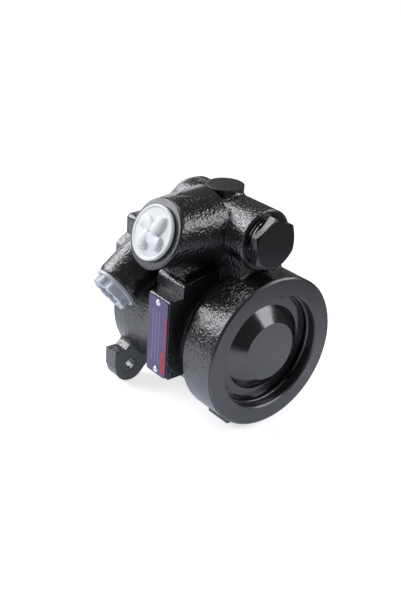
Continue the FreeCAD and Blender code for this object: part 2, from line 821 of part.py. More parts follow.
    # Port mouths, threads and the ways behind them.
    sketch = port_sketch(body, "port_a_bore_profile", dim.port_a_tilt, dim.port_a_left,
                         dim.port_a_height, port_a_y)
    way_end = dim.port_a_left / math.cos(PORT_A) - 4.0
    add_outline(sketch, [
        (0, 5.0),
        (dim.port_a_mouth_radius, 5.0),
        (dim.port_a_mouth_radius, dim.port_a_face_lip - dim.port_a_mouth_depth),
        (dim.port_a_thread_radius, dim.port_a_face_lip - dim.port_a_mouth_depth),
        (dim.port_a_thread_radius, -dim.port_a_thread_end),
        (dim.suction_way_radius, -dim.port_a_thread_end),
        (dim.suction_way_radius, -way_end),
        (0, -way_end),
    ])
    revolve(body, "port_a_bore", sketch, cut=True)
    sketch = new_sketch(body, "suction_drop_outline", "XY_Plane", (0, 0, dim.bore_radius - 6.0))
    add_circle(sketch, -dim.suction_way_radius, port_a_y, dim.suction_way_radius)
    drop = body.newObject("PartDesign::Pocket", "suction_drop")
    drop.Profile = sketch
    bind_values(drop, {"Length": dim.valve_height - dim.bore_radius - 13.6})
    drop.Reversed = True
    sketch = port_sketch(body, "port_b_bore_profile", -dim.port_b_tilt, 0, dim.valve_height, port_b_y)
    add_outline(sketch, [
        (0, 0),
        (dim.pressure_way_radius, 0),
        (dim.pressure_way_radius, dim.port_b_reach - dim.port_b_thread_end),
        (dim.port_b_thread_radius, dim.port_b_reach - dim.port_b_thread_end),
        (dim.port_b_thread_radius, dim.port_b_reach - dim.port_b_mouth_depth),
        (dim.port_b_mouth_radius, dim.port_b_reach - dim.port_b_mouth_depth),
        (dim.port_b_mouth_radius, dim.port_b_reach + 5.0),
        (0, dim.port_b_reach + 5.0),
    ])
    revolve(body, "port_b_bore", sketch, cut=True)

    # Locating pin holes in the bottom of the bore, rivet holes, then the bolt holes.
    sketch = section(body, "pin_hole_outline", bore_bottom)
    for side in (1, -1):
        add_circle(sketch, 0, side * dim.pin_circle_radius, dim.pin_radius)
    pins = extrude(body, "pin_holes", sketch, dim.pin_end_depth, cut=True)
    pins.Reversed = False
    sketch = new_sketch(body, "rivet_hole_outline", "YZ_Plane", (0, 0, -dim.pad_left))
    for height in (dim.pad_top - dim.rivet_inset, -dim.pad_bottom + dim.rivet_inset):
        add_circle(sketch, -(dim.pad_front + dim.pad_back) / 2, height, dim.rivet_shank_radius)
    holes = body.newObject("PartDesign::Pocket", "rivet_holes")
    holes.Profile = sketch
    holes.Length = float(dim.rivet_shank_length)
    bind(holes, "Length", dim.rivet_shank_length)
    holes.Reversed = True
    sketch = section(body, "bolt_hole_outline", flange_front)
    for side in (-1, 1):
        add_circle(sketch, bolt_offset * side, -bolt_offset, dim.bolt_hole_radius)
        add_circle(sketch, dim.upper_hole_side * side, dim.upper_hole_height, dim.upper_hole_radius)
    holes = extrude(body, "bolt_holes", sketch, dim.flange_thickness, cut=True)
    holes.Reversed = False
    return body


def build_cover():
    """Model the sunk rear cover with its cone boss, seal groove and cup, and its seal."""
    rim = dim.bore_radius - dim.cover_clearance
    step = cover_land + dim.cover_step_depth
    groove_start = cover_back - 2.0 - dim.seal_wire_radius * 2.3
    groove_end = cover_back - 2.0
    groove_floor = dim.bore_radius - dim.seal_wire_radius * 2
    turned("rear_cover", [
        (0, ring_face + dim.cover_boss_inset),
        (dim.cover_boss_radius, ring_face + dim.cover_boss_inset),
        (dim.cover_cone_radius, cover_land),
        (dim.cover_land_radius, cover_land),
        (dim.cover_land_radius, step),
        (dim.cover_step_radius, step),
        (dim.cover_step_radius, cover_land),
        (rim, cover_land),
        (rim, groove_start),
        (groove_floor, groove_start),
        (groove_floor, groove_end),
        (rim, groove_end),
        (rim, cover_back),
        (dim.cover_cup_radius, cover_back),
        (dim.cover_cup_radius, cover_cup),
        (dim.disc_spring_inner, cover_cup),
        (dim.disc_spring_inner, cover_land - 1.0),
        (0, cover_land - 1.0),
    ])
    turned_ring("cover_seal_ring", dim.bore_radius - dim.seal_wire_radius,
                (groove_start + groove_end) / 2, dim.seal_wire_radius)


def turned_ring(label, radius, station, wire, gap=None, gap_at=None):
    """Make a round wire ring about the shaft, closed or with a gap at an angle below +X."""
    body = new_body(label)
    turn = None if gap_at is None else gap_at
    sketch = new_sketch(body, label + "_section", "XY_Plane")
    add_circle(sketch, radius, station, wire)
    revolve(body, label + "_turned", sketch, angle=None if gap is None else 360 - gap)
    if turn is not None:
        body.Placement = Placement(Vector(0, 0, 0), Rotation(Vector(0, 1, 0), float(turn)))
        bind(body, "Placement.Rotation.Angle", turn)
    return body


def build_cartridge():
    """Model the pump cartridge: plates, cam ring, rotor, vanes, pins and spring."""
    outer = dim.bore_radius - dim.cartridge_clearance
    seal_floor = dim.bore_radius - dim.seal_wire_radius * 2
    seal_half = dim.seal_wire_radius * 1.15
    seal_mid = pressure_plate_front + dim.plate_thickness / 2
    # Port plate against the bottom of the bore.
    plate_bore = dim.shaft_mid_radius + dim.plate_bore_clearance
    plate = turned("port_plate", [
        (plate_bore, port_plate_front),
        (outer, port_plate_front),
        (outer, port_plate_back),
        (plate_bore, port_plate_back),
    ])
    cut_pin_holes(plate, port_plate_front)
    cut_kidneys(plate, port_plate_front, port_plate_back, 45)

    ring = doc.addObject("Part::Cylinder", "cam_blank")
    bind_values(ring, {"Radius": outer, "Height": dim.cam_thickness})
    lobe = doc.addObject("Part::Ellipse", "cam_lobe")
    bind_values(lobe, {"MajorRadius": dim.cam_major_radius, "MinorRadius": dim.cam_minor_radius})
    core = doc.addObject("Part::Extrusion", "cam_core")
    core.Base = lobe
    core.DirMode = "Custom"
    core.Dir = Vector(0, 0, 1)
    core.Solid = True
    bind_values(core, {"LengthFwd": dim.cam_thickness})
    bored = doc.addObject("Part::Cut", "cam_bored")
    bored.Base = ring
    bored.Tool = core
    holes = []
    for number, side in enumerate((1, -1), start=1):
        hole = doc.addObject("Part::Cylinder", "cam_pin_hole_%d" % number)
        bind_values(hole, {"Radius": dim.pin_radius, "Height": dim.cam_thickness})
        hole.Placement = Placement(Vector(0, float(dim.pin_circle_radius) * side, 0), Rotation())
        bind(hole, "Placement.Base.y", dim.pin_circle_radius * side)
        holes.append(hole)
    both = doc.addObject("Part::Fuse", "cam_pin_holes")
    both.Base = holes[0]
    both.Tool = holes[1]
    cam = doc.addObject("Part::Cut", "cam_ring")
    cam.Base = bored
    cam.Tool = both
    cam.Label = "cam_ring"
    cam.Placement = Placement(Vector(0, float(port_plate_front), 0), Rotation(Vector(1, 0, 0), 90))
    bind(cam, "Placement.Base.y", port_plate_front)
    made.append(cam)

    plate = turned("pressure_plate", [
        (dim.rear_bush_radius, pressure_plate_front),
        (outer, pressure_plate_front),
        (outer, seal_mid - seal_half),
        (seal_floor, seal_mid - seal_half),
        (seal_floor, seal_mid + seal_half),
        (outer, seal_mid + seal_half),
        (outer, cam_front),
        (dim.rear_bush_radius, cam_front),
    ])
    cut_pin_holes(plate, pressure_plate_front)
    cut_kidneys(plate, pressure_plate_front, cam_front, 135)
    turned_ring("pressure_plate_seal_ring", dim.bore_radius - dim.seal_wire_radius, seal_mid,
                dim.seal_wire_radius)
    turned("rear_bush", [
        (dim.shaft_rear_radius + dim.running_clearance, pressure_plate_front),
        (dim.rear_bush_radius, pressure_plate_front),
        (dim.rear_bush_radius, cam_front),
        (dim.shaft_rear_radius + dim.running_clearance, cam_front),
    ])
    thick = dim.disc_spring_thickness
    turned("cartridge_disc_spring", [
        (dim.disc_spring_inner, pressure_plate_front - thick),
        (dim.disc_spring_outer, cover_cup),
        (dim.disc_spring_outer, cover_cup + thick),
        (dim.disc_spring_inner, pressure_plate_front),
    ])
    build_pins()
    build_rotor()


def bind_values(item, values):
    """Set properties of a primitive and tie them to the sheet."""
    for path, size in values.items():
        setattr(item, path, float(size))
        bind(item, path, size)


def cut_pin_holes(body, station):
    """Cut the two locating pin holes through a plate."""
    sketch = section(body, body.Label + "_pin_outline", station)
    for side in (1, -1):
        add_circle(sketch, 0, side * dim.pin_circle_radius, dim.pin_radius)
    cut = extrude(body, body.Label + "_pin_holes", sketch, dim.plate_thickness, cut=True)
    cut.Reversed = False


def cut_kidneys(body, front, back, first):
    """Cut the two kidney shaped oil ways through a plate, half a turn apart."""
    outer = dim.rotor_radius - dim.kidney_inset
    inner = outer - dim.kidney_width
    for turn in (first, first + 180):
        name = "%s_kidney_%d" % (body.Label, turn)
        sketch = new_sketch(body, name + "_section", "XY_Plane", turn=turn, about=Vector(0, 1, 0))
        add_outline(sketch, [
            (inner, front - 0.5),
            (outer, front - 0.5),
            (outer, back + 0.5),
            (inner, back + 0.5),
        ])
        kidney = revolve(body, name, sketch, cut=True, angle=dim.kidney_angle)
        kidney.Midplane = True


def build_pins():
    """Model the two locating pins through the cartridge into the housing."""
    length = dim.pin_end_depth + dim.plate_thickness * 2 + dim.cam_thickness - 0.5
    pins = []
    for number, side in enumerate((1, -1), start=1):
        pin = doc.addObject("Part::Cylinder", "locating_pin_%d" % number)
        bind_values(pin, {"Radius": dim.pin_radius, "Height": length})
        pin.Placement = Placement(Vector(0, float(bore_bottom + dim.pin_end_depth), side * float(dim.pin_circle_radius)),
                                  Rotation(Vector(1, 0, 0), 90))
        bind(pin, "Placement.Base.y", bore_bottom + dim.pin_end_depth)
        bind(pin, "Placement.Base.z", dim.pin_circle_radius * side)
        pins.append(pin)
    group = doc.addObject("Part::Compound", "locating_pins")
    group.Links = pins
    group.Label = "locating_pins"
    made.append(group)


def build_rotor():
    """Model the slotted rotor and its vanes."""
    gap = dim.rotor_clearance
    front = cam_front + gap
    back = port_plate_front - gap
    length = back - front
    body = new_body("rotor")
    sketch = new_sketch(body, "rotor_profile", "XY_Plane")
    recess = dim.shaft_rear_radius - dim.rotor_clip_depth + dim.rotor_clip_width + 0.6
    add_outline(sketch, [
        (dim.shaft_rear_radius, front + dim.rotor_clip_recess),
        (recess, front + dim.rotor_clip_recess),
        (recess, front),
        (dim.rotor_radius, front),
        (dim.rotor_radius, back),
        (dim.shaft_rear_radius, back),
    ])
    revolve(body, "rotor_turned", sketch)
    sketch = section(body, "tooth_outline", front + dim.rotor_clip_recess)
    add_spline(sketch, dim.spline_clearance, dim.shaft_rear_radius + 0.5)
    tooth = extrude(body, "tooth", sketch, length - dim.rotor_clip_recess)
    polar_pattern(body, "teeth", [tooth], dim.spline_count)
    slot_floor = dim.vane_retracted - dim.vane_length - dim.vane_spare_depth
    half = dim.vane_thickness / 2 + dim.vane_clearance
    sketch = section(body, "slot_outline", front, -dim.vane_first_angle)
    add_outline(sketch, [
        (-half, slot_floor),
        (-half, dim.rotor_radius + 2.0),
        (half, dim.rotor_radius + 2.0),
        (half, slot_floor),
    ])
    slot = extrude(body, "slot", sketch, length, cut=True)
    slot.Reversed = False
    sketch = section(body, "slot_foot_outline", front, -dim.vane_first_angle)
    add_circle(sketch, 0, slot_floor, dim.vane_thickness * 0.8)
    foot = extrude(body, "slot_foot", sketch, length, cut=True)
    foot.Reversed = False
    polar_pattern(body, "slots", [slot, foot], dim.vane_count)

    count = int(SIZES["vane_count"])
    for number in range(count):
        angle = SIZES["vane_first_angle"] + 360.0 / count * number
        label = "vane_%02d" % (number + 1)
        vane = new_body(label)
        sketch = section(vane, label + "_outline", front)
        tip = dim.vane_retracted - 0.3
        thick = dim.vane_thickness / 2
        add_outline(sketch, [
            (-thick, dim.vane_retracted - dim.vane_length),
            (-thick, tip),
            (-thick * 0.5, dim.vane_retracted),
            (thick * 0.5, dim.vane_retracted),
            (thick, tip),
            (thick, dim.vane_retracted - dim.vane_length),
        ])
        extrude(vane, label + "_plate", sketch, length)
        vane.Placement = Placement(Vector(0, 0, 0), Rotation(Vector(0, 1, 0), angle))


def add_spline(sketch, clearance, outside):
    """Draw one spline space of the shaft, or the tooth that fills it but for a clearance."""
    root = dim.shaft_rear_radius - dim.spline_depth + clearance
    half = dim.spline_half_width - clearance
    add_outline(sketch, [
        (-half * 0.6, root),
        (-half, dim.shaft_rear_radius),
        (-half, outside),
        (half, outside),
        (half, dim.shaft_rear_radius),
        (half * 0.6, root),
    ])


def build_shaft_line():
    """Model the shaft and everything that is threaded on it or carries it."""
    clip_floor = dim.shaft_rear_radius - dim.rotor_clip_depth
    clip_start = cam_front + dim.rotor_clearance + 0.2
    clip_end = clip_start + dim.rotor_clip_thickness
    body = new_body("drive_shaft")
    sketch = new_sketch(body, "shaft_profile", "XY_Plane")
    add_outline(sketch, [
        (0, shaft_rear_end),
        (dim.shaft_rear_radius - 0.8, shaft_rear_end),
        (dim.shaft_rear_radius, shaft_rear_end + 0.8),
        (dim.shaft_rear_radius, clip_start),
        (clip_floor, clip_start),
        (clip_floor, clip_end),
        (dim.shaft_rear_radius, clip_end),
        (dim.shaft_rear_radius, port_plate_front + 1.0),
        (dim.shaft_mid_radius, port_plate_front + 2.5),
        (dim.shaft_mid_radius, bush_end + 1.0),
        (dim.shaft_seat_radius, bush_end + 2.0),
        (dim.shaft_seat_radius, collar_start),
        (dim.shaft_collar_radius, collar_start),
        (dim.shaft_collar_radius, bearing_start),
        (dim.shaft_seat_radius, bearing_start),
        (dim.shaft_seat_radius, dim.taper_start),
        (dim.shaft_tip_radius, taper_end),
        (dim.thread_radius, taper_end),
        (dim.thread_radius, shaft_end - 1.0),
        (dim.thread_radius - 1.0, shaft_end),
        (0, shaft_end),
    ])
    revolve(body, "shaft_turned", sketch)
    spline_start = cam_front + dim.rotor_clearance + dim.rotor_clip_recess
    sketch = section(body, "spline_outline", spline_start)
    add_spline(sketch, Size(0, "0"), dim.shaft_rear_radius + 1.0)
    space = extrude(body, "spline_space", sketch, port_plate_front - spline_start, cut=True)
    space.Reversed = False
    polar_pattern(body, "spline", [space], dim.spline_count)
    clip_ring("rotor_circlip", clip_floor + dim.rotor_clip_width, dim.rotor_clip_width,
              clip_start, dim.rotor_clip_thickness)
    key_middle = dim.key_back
    taper_drop = (dim.shaft_seat_radius - dim.shaft_tip_radius) / dim.taper_length
    surface = dim.shaft_seat_radius - taper_drop * (key_middle - dim.taper_start)
    key_top = surface + dim.key_stand
    disc_middle = key_top - dim.key_height + dim.key_radius
    sketch = new_sketch(body, "key_seat_outline", "YZ_Plane")
    add_circle(sketch, key_middle, disc_middle, dim.key_radius)
    extrude(body, "key_seat", sketch, dim.key_width, cut=True, both=True)

    key = new_body("woodruff_key")
    sketch = new_sketch(key, "key_outline", "YZ_Plane")
    add_circle(sketch, key_middle, disc_middle, dim.key_radius)
    extrude(key, "key_disc", sketch, dim.key_width, both=True)
    sketch = new_sketch(key, "key_flat_outline", "YZ_Plane")
    reach = dim.key_radius + 2.0
    add_outline(sketch, [
        (key_middle - reach, key_top),
        (key_middle + reach, key_top),
        (key_middle + reach, key_top + reach * 2),
        (key_middle - reach, key_top + reach * 2),
    ])
    extrude(key, "key_flat", sketch, dim.key_width + 2.0, cut=True, both=True)

    turned("lock_washer", [
        (dim.thread_radius + 0.2, taper_end),
        (dim.washer_radius, taper_end),
        (dim.washer_radius, taper_end + dim.washer_thickness),
        (dim.thread_radius + 0.2, taper_end + dim.washer_thickness),
    ])
    nut_start = taper_end + dim.washer_thickness
    hex_nut("shaft_nut", dim.nut_flats, nut_start, dim.nut_height, dim.thread_radius)

    turned("front_bush", [
        (dim.shaft_mid_radius + dim.running_clearance, bush_start),
        (dim.front_bush_radius, bush_start),
        (dim.front_bush_radius, bush_end),
        (dim.shaft_mid_radius + dim.running_clearance, bush_end),
    ])
    lip = dim.shaft_seat_radius + dim.running_clearance
    turned("shaft_seal", [
        (lip, seal_start + 2.0),
        (lip + 0.8, seal_start + 0.6),
        (lip + 3.0, seal_start + 1.4),
        (lip + 3.0, seal_end - 2.0),
        (dim.seal_radius - 1.6, seal_end - 2.0),
        (dim.seal_radius - 1.6, seal_start),
        (dim.seal_radius, seal_start),
        (dim.seal_radius, seal_end),
        (lip + 0.6, seal_end),
        (lip, seal_end - 0.8),
        (lip + 1.6, seal_end - 2.6),
        (lip + 1.6, seal_start + 3.2),
    ])
    build_bearing()
    clip_ring("bearing_circlip", dim.bearing_radius + dim.circlip_groove_depth, 4.4,
              bearing_end, dim.circlip_width)


def hex_nut(label, flats, start, height, bore):
    """Model a plain hexagon nut with chamfered corners on the shaft's thread."""
    body = new_body(label)
    sketch = section(body, label + "_hexagon", start)
    add_hexagon(sketch, flats)
    extrude(body, label + "_block", sketch, height)
    sketch = section(body, label + "_bore_outline", start)
    add_circle(sketch, 0, 0, bore)
    hole = extrude(body, label + "_bore", sketch, height, cut=True)
    hole.Reversed = False
    corner = flats / math.sqrt(3)
    sketch = new_sketch(body, label + "_chamfer_profile", "XY_Plane")
    add_outline(sketch, [
        (flats / 2, start + height + 0.01),
        (corner + 1.0, start + height + 0.01),
        (corner + 1.0, start + height - (corner + 1.0 - flats / 2) * 0.58),
    ])
    revolve(body, label + "_chamfer", sketch, cut=True)
    return body


def add_hexagon(sketch, flats, first=30):
    """Draw a hexagon across the given flats about the sketch's middle."""
    corner = flats / math.sqrt(3)
    points = []
    for number in range(6):
        angle = math.radians(first + 60 * number)
        points.append((corner * math.cos(angle), corner * math.sin(angle)))
    add_outline(sketch, points)


def clip_ring(label, outer, width, start, thickness):
    """Model a flat circlip as an open ring with its gap at the top."""
    body = new_body(label)
    sketch = new_sketch(body, label + "_section", "XY_Plane")
    add_outline(sketch, [
        (outer - width, start),
        (outer, start),
        (outer, start + thickness),
        (outer - width, start + thickness),
    ])
    revolve(body, label + "_turned", sketch, angle=360 - dim.circlip_gap_angle)
    body.Placement = Placement(Vector(0, 0, 0), Rotation(Vector(0, 1, 0), -90 - float(dim.circlip_gap_angle) / 2))
    return body


def build_bearing():
    """Model the ball bearing: two races with ball tracks, the cage and its balls."""
    middle = bearing_start + dim.bearing_width / 2
    pitch = (dim.inner_race_radius + dim.outer_race_bore) / 2
    track = dim.ball_radius + dim.ball_clearance
    for label, inner, outer in (
        ("bearing_inner_race", dim.shaft_seat_radius, dim.inner_race_radius),
        ("bearing_outer_race", dim.outer_race_bore, dim.bearing_radius),
    ):
        body = turned(label, [
            (inner, bearing_start),
            (outer, bearing_start),
            (outer, bearing_end),
            (inner, bearing_end),
        ])
        sketch = new_sketch(body, label + "_track_section", "XY_Plane")
        add_circle(sketch, pitch, middle, track)
        revolve(body, label + "_track", sketch, cut=True)
    count = int(SIZES["ball_count"])
    balls = []
    for number in range(count):
        angle = 2 * math.pi / count * number
        ball = doc.addObject("Part::Sphere", "ball_%d" % (number + 1))
        bind_values(ball, {"Radius": dim.ball_radius})
        across = pitch * math.cos(angle)
        up = pitch * math.sin(angle)
        ball.Placement = Placement(Vector(float(across), float(middle), float(up)), Rotation())
        for axis, size in zip("xyz", (across, middle, up)):
            bind(ball, "Placement.Base." + axis, size)
        balls.append(ball)
    group = doc.addObject("Part::Compound", "bearing_balls")
    group.Links = balls
    group.Label = "bearing_balls"
    made.append(group)
    cage = turned("bearing_cage", [
        (pitch - 1.4, middle - dim.ball_radius - 1.0),
        (pitch + 1.4, middle - dim.ball_radius - 1.0),
        (pitch + 1.4, middle + dim.ball_radius + 1.0),
        (pitch - 1.4, middle + dim.ball_radius + 1.0),
    ])
    sketch = new_sketch(cage, "cage_pocket_outline", "YZ_Plane")
    add_circle(sketch, middle, 0, dim.ball_radius + 0.1)
    pocket = extrude(cage, "cage_pocket", sketch, pitch + 5.0, cut=True)
    pocket.Reversed = True
    polar_pattern(cage, "cage_pockets", [pocket], dim.ball_count)


def build_valve():
    """Model the valve plug, its washer, the spool, the springs and the relief parts."""
    lift = (0, 0, dim.valve_height)
    washer_front = valve_front - dim.plug_washer_thickness
    collar_front = washer_front - dim.plug_collar_height
    hex_front = collar_front - dim.plug_hex_height
    shank_end = valve_front + dim.plug_thread_depth
    turned("plug_washer", [
        (dim.plug_thread_radius + 0.1, washer_front),
        (dim.plug_washer_radius, washer_front),
        (dim.plug_washer_radius, valve_front),
        (dim.plug_thread_radius + 0.1, valve_front),
    ], base=lift)
    plug = new_body("valve_plug")
    sketch = new_sketch(plug, "plug_profile", "XY_Plane", lift)
    add_outline(sketch, [
        (0, collar_front),
        (dim.plug_collar_radius, collar_front),
        (dim.plug_collar_radius, washer_front),
        (dim.plug_thread_radius, washer_front),
        (dim.plug_thread_radius, shank_end - 1.0),
        (dim.plug_thread_radius - 1.0, shank_end),
        (dim.plug_nose_radius, shank_end),
        (dim.plug_nose_radius, spool_front),
        (0, spool_front),
    ])
    revolve(plug, "plug_turned", sketch)
    sketch = new_sketch(plug, "plug_hexagon", "XZ_Plane", (0, dim.valve_height, -hex_front),
                        dim.plug_hex_turn)
    add_hexagon(sketch, dim.plug_flats, first=0)
    extrude(plug, "plug_head", sketch, dim.plug_hex_height)
    corner = dim.plug_flats / math.sqrt(3) + 1.0
    sketch = new_sketch(plug, "plug_chamfer_profile", "XY_Plane", lift)
    add_outline(sketch, [
        (dim.plug_flats / 2, hex_front - 0.01),
        (corner, hex_front - 0.01),
        (corner, hex_front + (corner - dim.plug_flats / 2) * 0.5),
    ])
    revolve(plug, "plug_chamfer", sketch, cut=True)

    # The spool, with two grooves, a spring cup and the relief bore.
    land = dim.valve_bore_radius - dim.spool_clearance
    floor = land - dim.spool_groove_depth
    first = spool_front + 5.0
    second = first + dim.spool_groove_width + 5.0
    seat = spool_back - dim.relief_seat_depth
    turned("flow_spool", [
        (dim.relief_seat_radius, spool_front),
        (land, spool_front),
        (land, first),
        (floor, first),
        (floor, first + dim.spool_groove_width),
        (land, first + dim.spool_groove_width),
        (land, second),
        (floor, second),
        (floor, second + 2.0),
        (land, second + 2.0),
        (land, spool_back),
        (dim.spool_cup_radius, spool_back),
        (dim.spool_cup_radius, spool_back - dim.spool_cup_depth),
        (dim.relief_bore_radius, spool_back - dim.spool_cup_depth),
        (dim.relief_bore_radius, seat + 2.2),
        (dim.relief_seat_radius, seat),
    ], base=lift)
    ball_station = seat + ball_offset()
    ball = doc.addObject("Part::Sphere", "relief_ball")
    bind_values(ball, {"Radius": dim.relief_ball_radius})
    ball.Placement = Placement(Vector(0, float(ball_station), float(dim.valve_height)), Rotation())
    bind(ball, "Placement.Base.y", ball_station)
    bind(ball, "Placement.Base.z", dim.valve_height)
    ball.Label = "relief_ball"
    made.append(ball)
    screw_end = spool_back - dim.spool_cup_depth
    screw_start = screw_end - dim.relief_screw_length
    turned("relief_screw", [
        (1.5, screw_start),
        (dim.relief_bore_radius, screw_start),
        (dim.relief_bore_radius, screw_end),
        (1.5, screw_end),
    ], base=lift)
    ball_top = ball_station + dim.relief_ball_radius * 0.6
    coil("relief_spring", dim.relief_spring_radius, dim.relief_spring_wire, ball_top,
         screw_start, dim.relief_spring_turns)
    coil("valve_spring", dim.valve_spring_radius, dim.valve_spring_wire,
         spool_back - dim.spool_cup_depth, valve_back, dim.valve_spring_turns)


def ball_offset():
    """Give how far the relief ball's middle lies behind the start of its cone seat."""
    rise = SIZES["relief_bore_radius"] - SIZES["relief_seat_radius"]
    slope = math.atan2(rise, 2.2)
    touch = SIZES["relief_ball_radius"] / math.sin(slope) - SIZES["relief_seat_radius"] / math.tan(slope)
    return touch + FRONT_GAP


def coil(label, radius, wire, start, end, turns):
    """Model a coil spring about the valve's axis between two stations."""
    body = new_body(label)
    sketch = new_sketch(body, label + "_section", "XY_Plane", (0, 0, dim.valve_height))
    add_circle(sketch, radius, start + wire, wire)
    spring = body.newObject("PartDesign::AdditiveHelix", label + "_coil")
    spring.Profile = sketch
    spring.ReferenceAxis = (sketch, ["V_Axis"])
    spring.Mode = "height-turns-angle"
    bind_values(spring, {"Height": end - start - wire * 2, "Turns": turns})


def build_caps():
    """Model the two plastic caps that close the ports."""
    axis_a = (dim.port_a_tilt, dim.port_a_left, dim.port_a_height, port_a_y)
    under = dim.port_a_face_lip + dim.cap_a_stand_off
    body, top = cap_disc("port_cap_a", axis_a, dim.port_a_face_lip, under, dim.cap_a_radius,
                         dim.cap_a_thickness, dim.port_a_mouth_radius, dim.cap_shank_length_a)
    cap_grip(body, axis_a, top, dim.cap_a_grip_core, dim.cap_a_grip_height, dim.cap_a_lobe_radius,
             dim.cap_a_lobe_reach, dim.cap_a_lobes)
    axis_b = (-dim.port_b_tilt, Size(0, "0"), dim.valve_height, port_b_y)
    under = dim.port_b_reach + dim.cap_b_stand_off
    body, top = cap_disc("port_cap_b", axis_b, dim.port_b_reach, under, dim.cap_b_radius,
                         dim.cap_b_thickness, dim.port_b_mouth_radius, dim.cap_shank_length_b)
    cap_grip(body, axis_b, top, dim.cap_b_grip_core, dim.cap_b_grip_height, dim.cap_b_lobe_radius,
             dim.cap_b_lobe_reach, dim.cap_b_lobes)


def cap_disc(label, axis, face, under, radius, thickness, mouth, shank):
    """Model a cap's flange disc and the hollow shank that sits in the port's mouth."""
    body = new_body(label)
    shank_radius = mouth - dim.cap_shank_clearance
    top = under + thickness
    sketch = port_sketch(body, label + "_profile", *axis)
    add_outline(sketch, [
        (0, top),
        (radius - dim.cap_edge, top),
        (radius, top - dim.cap_edge),
        (radius, under),
        (shank_radius, under),
        (shank_radius, face - shank),
        (shank_radius - dim.cap_wall, face - shank),
        (shank_radius - dim.cap_wall, top - dim.cap_wall),
        (0, top - dim.cap_wall),
    ])
    revolve(body, label + "_turned", sketch)
    return body, top


def cap_grip(body, axis, top, core, height, lobe, reach, lobes):
    """Raise the finger grip on a cap: a round core with lobes standing out of it."""
    label = body.Label
    sketch = square_to_port(body, label + "_core_outline", *axis, top)
    add_circle(sketch, 0, 0, core)
    cap_pad(body, label + "_core", sketch, height)
    sketch = square_to_port(body, label + "_lobe_outline", *axis, top)
    add_circle(sketch, 0, reach, lobe)
    end = cap_pad(body, label + "_lobe", sketch, height)
    arm = square_to_port(body, label + "_arm_outline", *axis, top)
    add_outline(arm, [(-lobe * 0.8, 0), (-lobe * 0.8, reach), (lobe * 0.8, reach), (lobe * 0.8, 0)])
    rib = cap_pad(body, label + "_arm", arm, height)
    doc.recompute()
    pattern = body.newObject("PartDesign::PolarPattern", label + "_lobes")
    pattern.Originals = [end, rib]
    pattern.Axis = (sketch, ["N_Axis"])
    pattern.Angle = 360.0
    pattern.Occurrences = int(round(float(lobes)))
    body.Tip = pattern


def cap_pad(body, name, sketch, height):
    """Raise an outline outwards along a port's axis."""
    feature = body.newObject("PartDesign::Pad", name)
    feature.Profile = sketch
    feature.Reversed = True
    bind_values(feature, {"Length": height})
    return feature


def build_nameplate():
    """Model the nameplate on its pad and the two rivets that hold it."""
    low = -dim.pad_bottom + dim.plate_edge
    high = dim.pad_top - dim.plate_edge
    front = -dim.pad_front + dim.plate_edge
    back = -dim.pad_back - dim.plate_edge
    body = new_body("nameplate")
    sketch = new_sketch(body, "plate_outline", "YZ_Plane", (0, 0, -dim.pad_left - dim.plate_gauge))
    add_outline(sketch, [(front, low), (back, low), (back, high), (front, high)])
    plate = body.newObject("PartDesign::Pad", "plate")
    plate.Profile = sketch
    bind_values(plate, {"Length": dim.plate_gauge})
    round_edges(body, "plate_corners", dim.plate_round,
                lambda edge: edge.Curve.TypeId == "Part::GeomLine" and near(edge.Length, dim.plate_gauge))
    sketch = new_sketch(body, "plate_hole_outline", "YZ_Plane", (0, 0, -dim.pad_left - dim.plate_gauge))
    middle = -(dim.pad_front + dim.pad_back) / 2
    heights = (dim.pad_top - dim.rivet_inset, -dim.pad_bottom + dim.rivet_inset)
    for height in heights:
        add_circle(sketch, middle, height, dim.rivet_shank_radius)
    holes = body.newObject("PartDesign::Pocket", "plate_holes")
    holes.Profile = sketch
    bind_values(holes, {"Length": dim.plate_gauge})
    holes.Reversed = True

    rivets = []
    for number, height in enumerate(heights, start=1):
        shank = doc.addObject("Part::Cylinder", "rivet_shank_%d" % number)
        bind_values(shank, {"Radius": dim.rivet_shank_radius,
                            "Height": dim.plate_gauge + dim.rivet_shank_length})
        head = doc.addObject("Part::Sphere", "rivet_dome_%d" % number)
        rise = dim.rivet_head_height
        dome = (dim.rivet_head_radius * dim.rivet_head_radius + rise * rise) / (rise * 2)
        bind_values(head, {"Radius": dome})
        head.Placement = Placement(Vector(0, 0, float(dome - rise)), Rotation())
        bind(head, "Placement.Base.z", dome - rise)
        block = doc.addObject("Part::Box", "rivet_block_%d" % number)
        side = dome * 4
        bind_values(block, {"Length": side, "Width": side, "Height": side})
        block.Placement = Placement(Vector(-float(dome) * 2, -float(dome) * 2, 0), Rotation())
        bind(block, "Placement.Base.x", -dome * 2)
        bind(block, "Placement.Base.y", -dome * 2)
        cut = doc.addObject("Part::Cut", "rivet_head_%d" % number)
        cut.Base = head
        cut.Tool = block
        rivet = doc.addObject("Part::Fuse", "rivet_%d" % number)
        rivet.Base = shank
        rivet.Tool = cut
        spot = Vector(-float(dim.pad_left + dim.plate_gauge), float(middle), float(height))
        rivet.Placement = Placement(spot, Rotation(Vector(0, 1, 0), 90))
        for axis, size in zip("xyz", (-(dim.pad_left + dim.plate_gauge), middle, height)):
            bind(rivet, "Placement.Base." + axis, size)
        rivets.append(rivet)
    group = doc.addObject("Part::Compound", "nameplate_rivets")
    group.Links = rivets
    group.Label = "nameplate_rivets"
    made.append(group)


build_housing()
build_cover()
turned_ring("cover_retaining_ring", dim.bore_radius, ring_station, dim.ring_wire_radius,
            dim.ring_gap_angle, dim.ring_gap_at)
build_cartridge()
build_shaft_line()
build_valve()
build_caps()
build_nameplate()
doc.recompute()

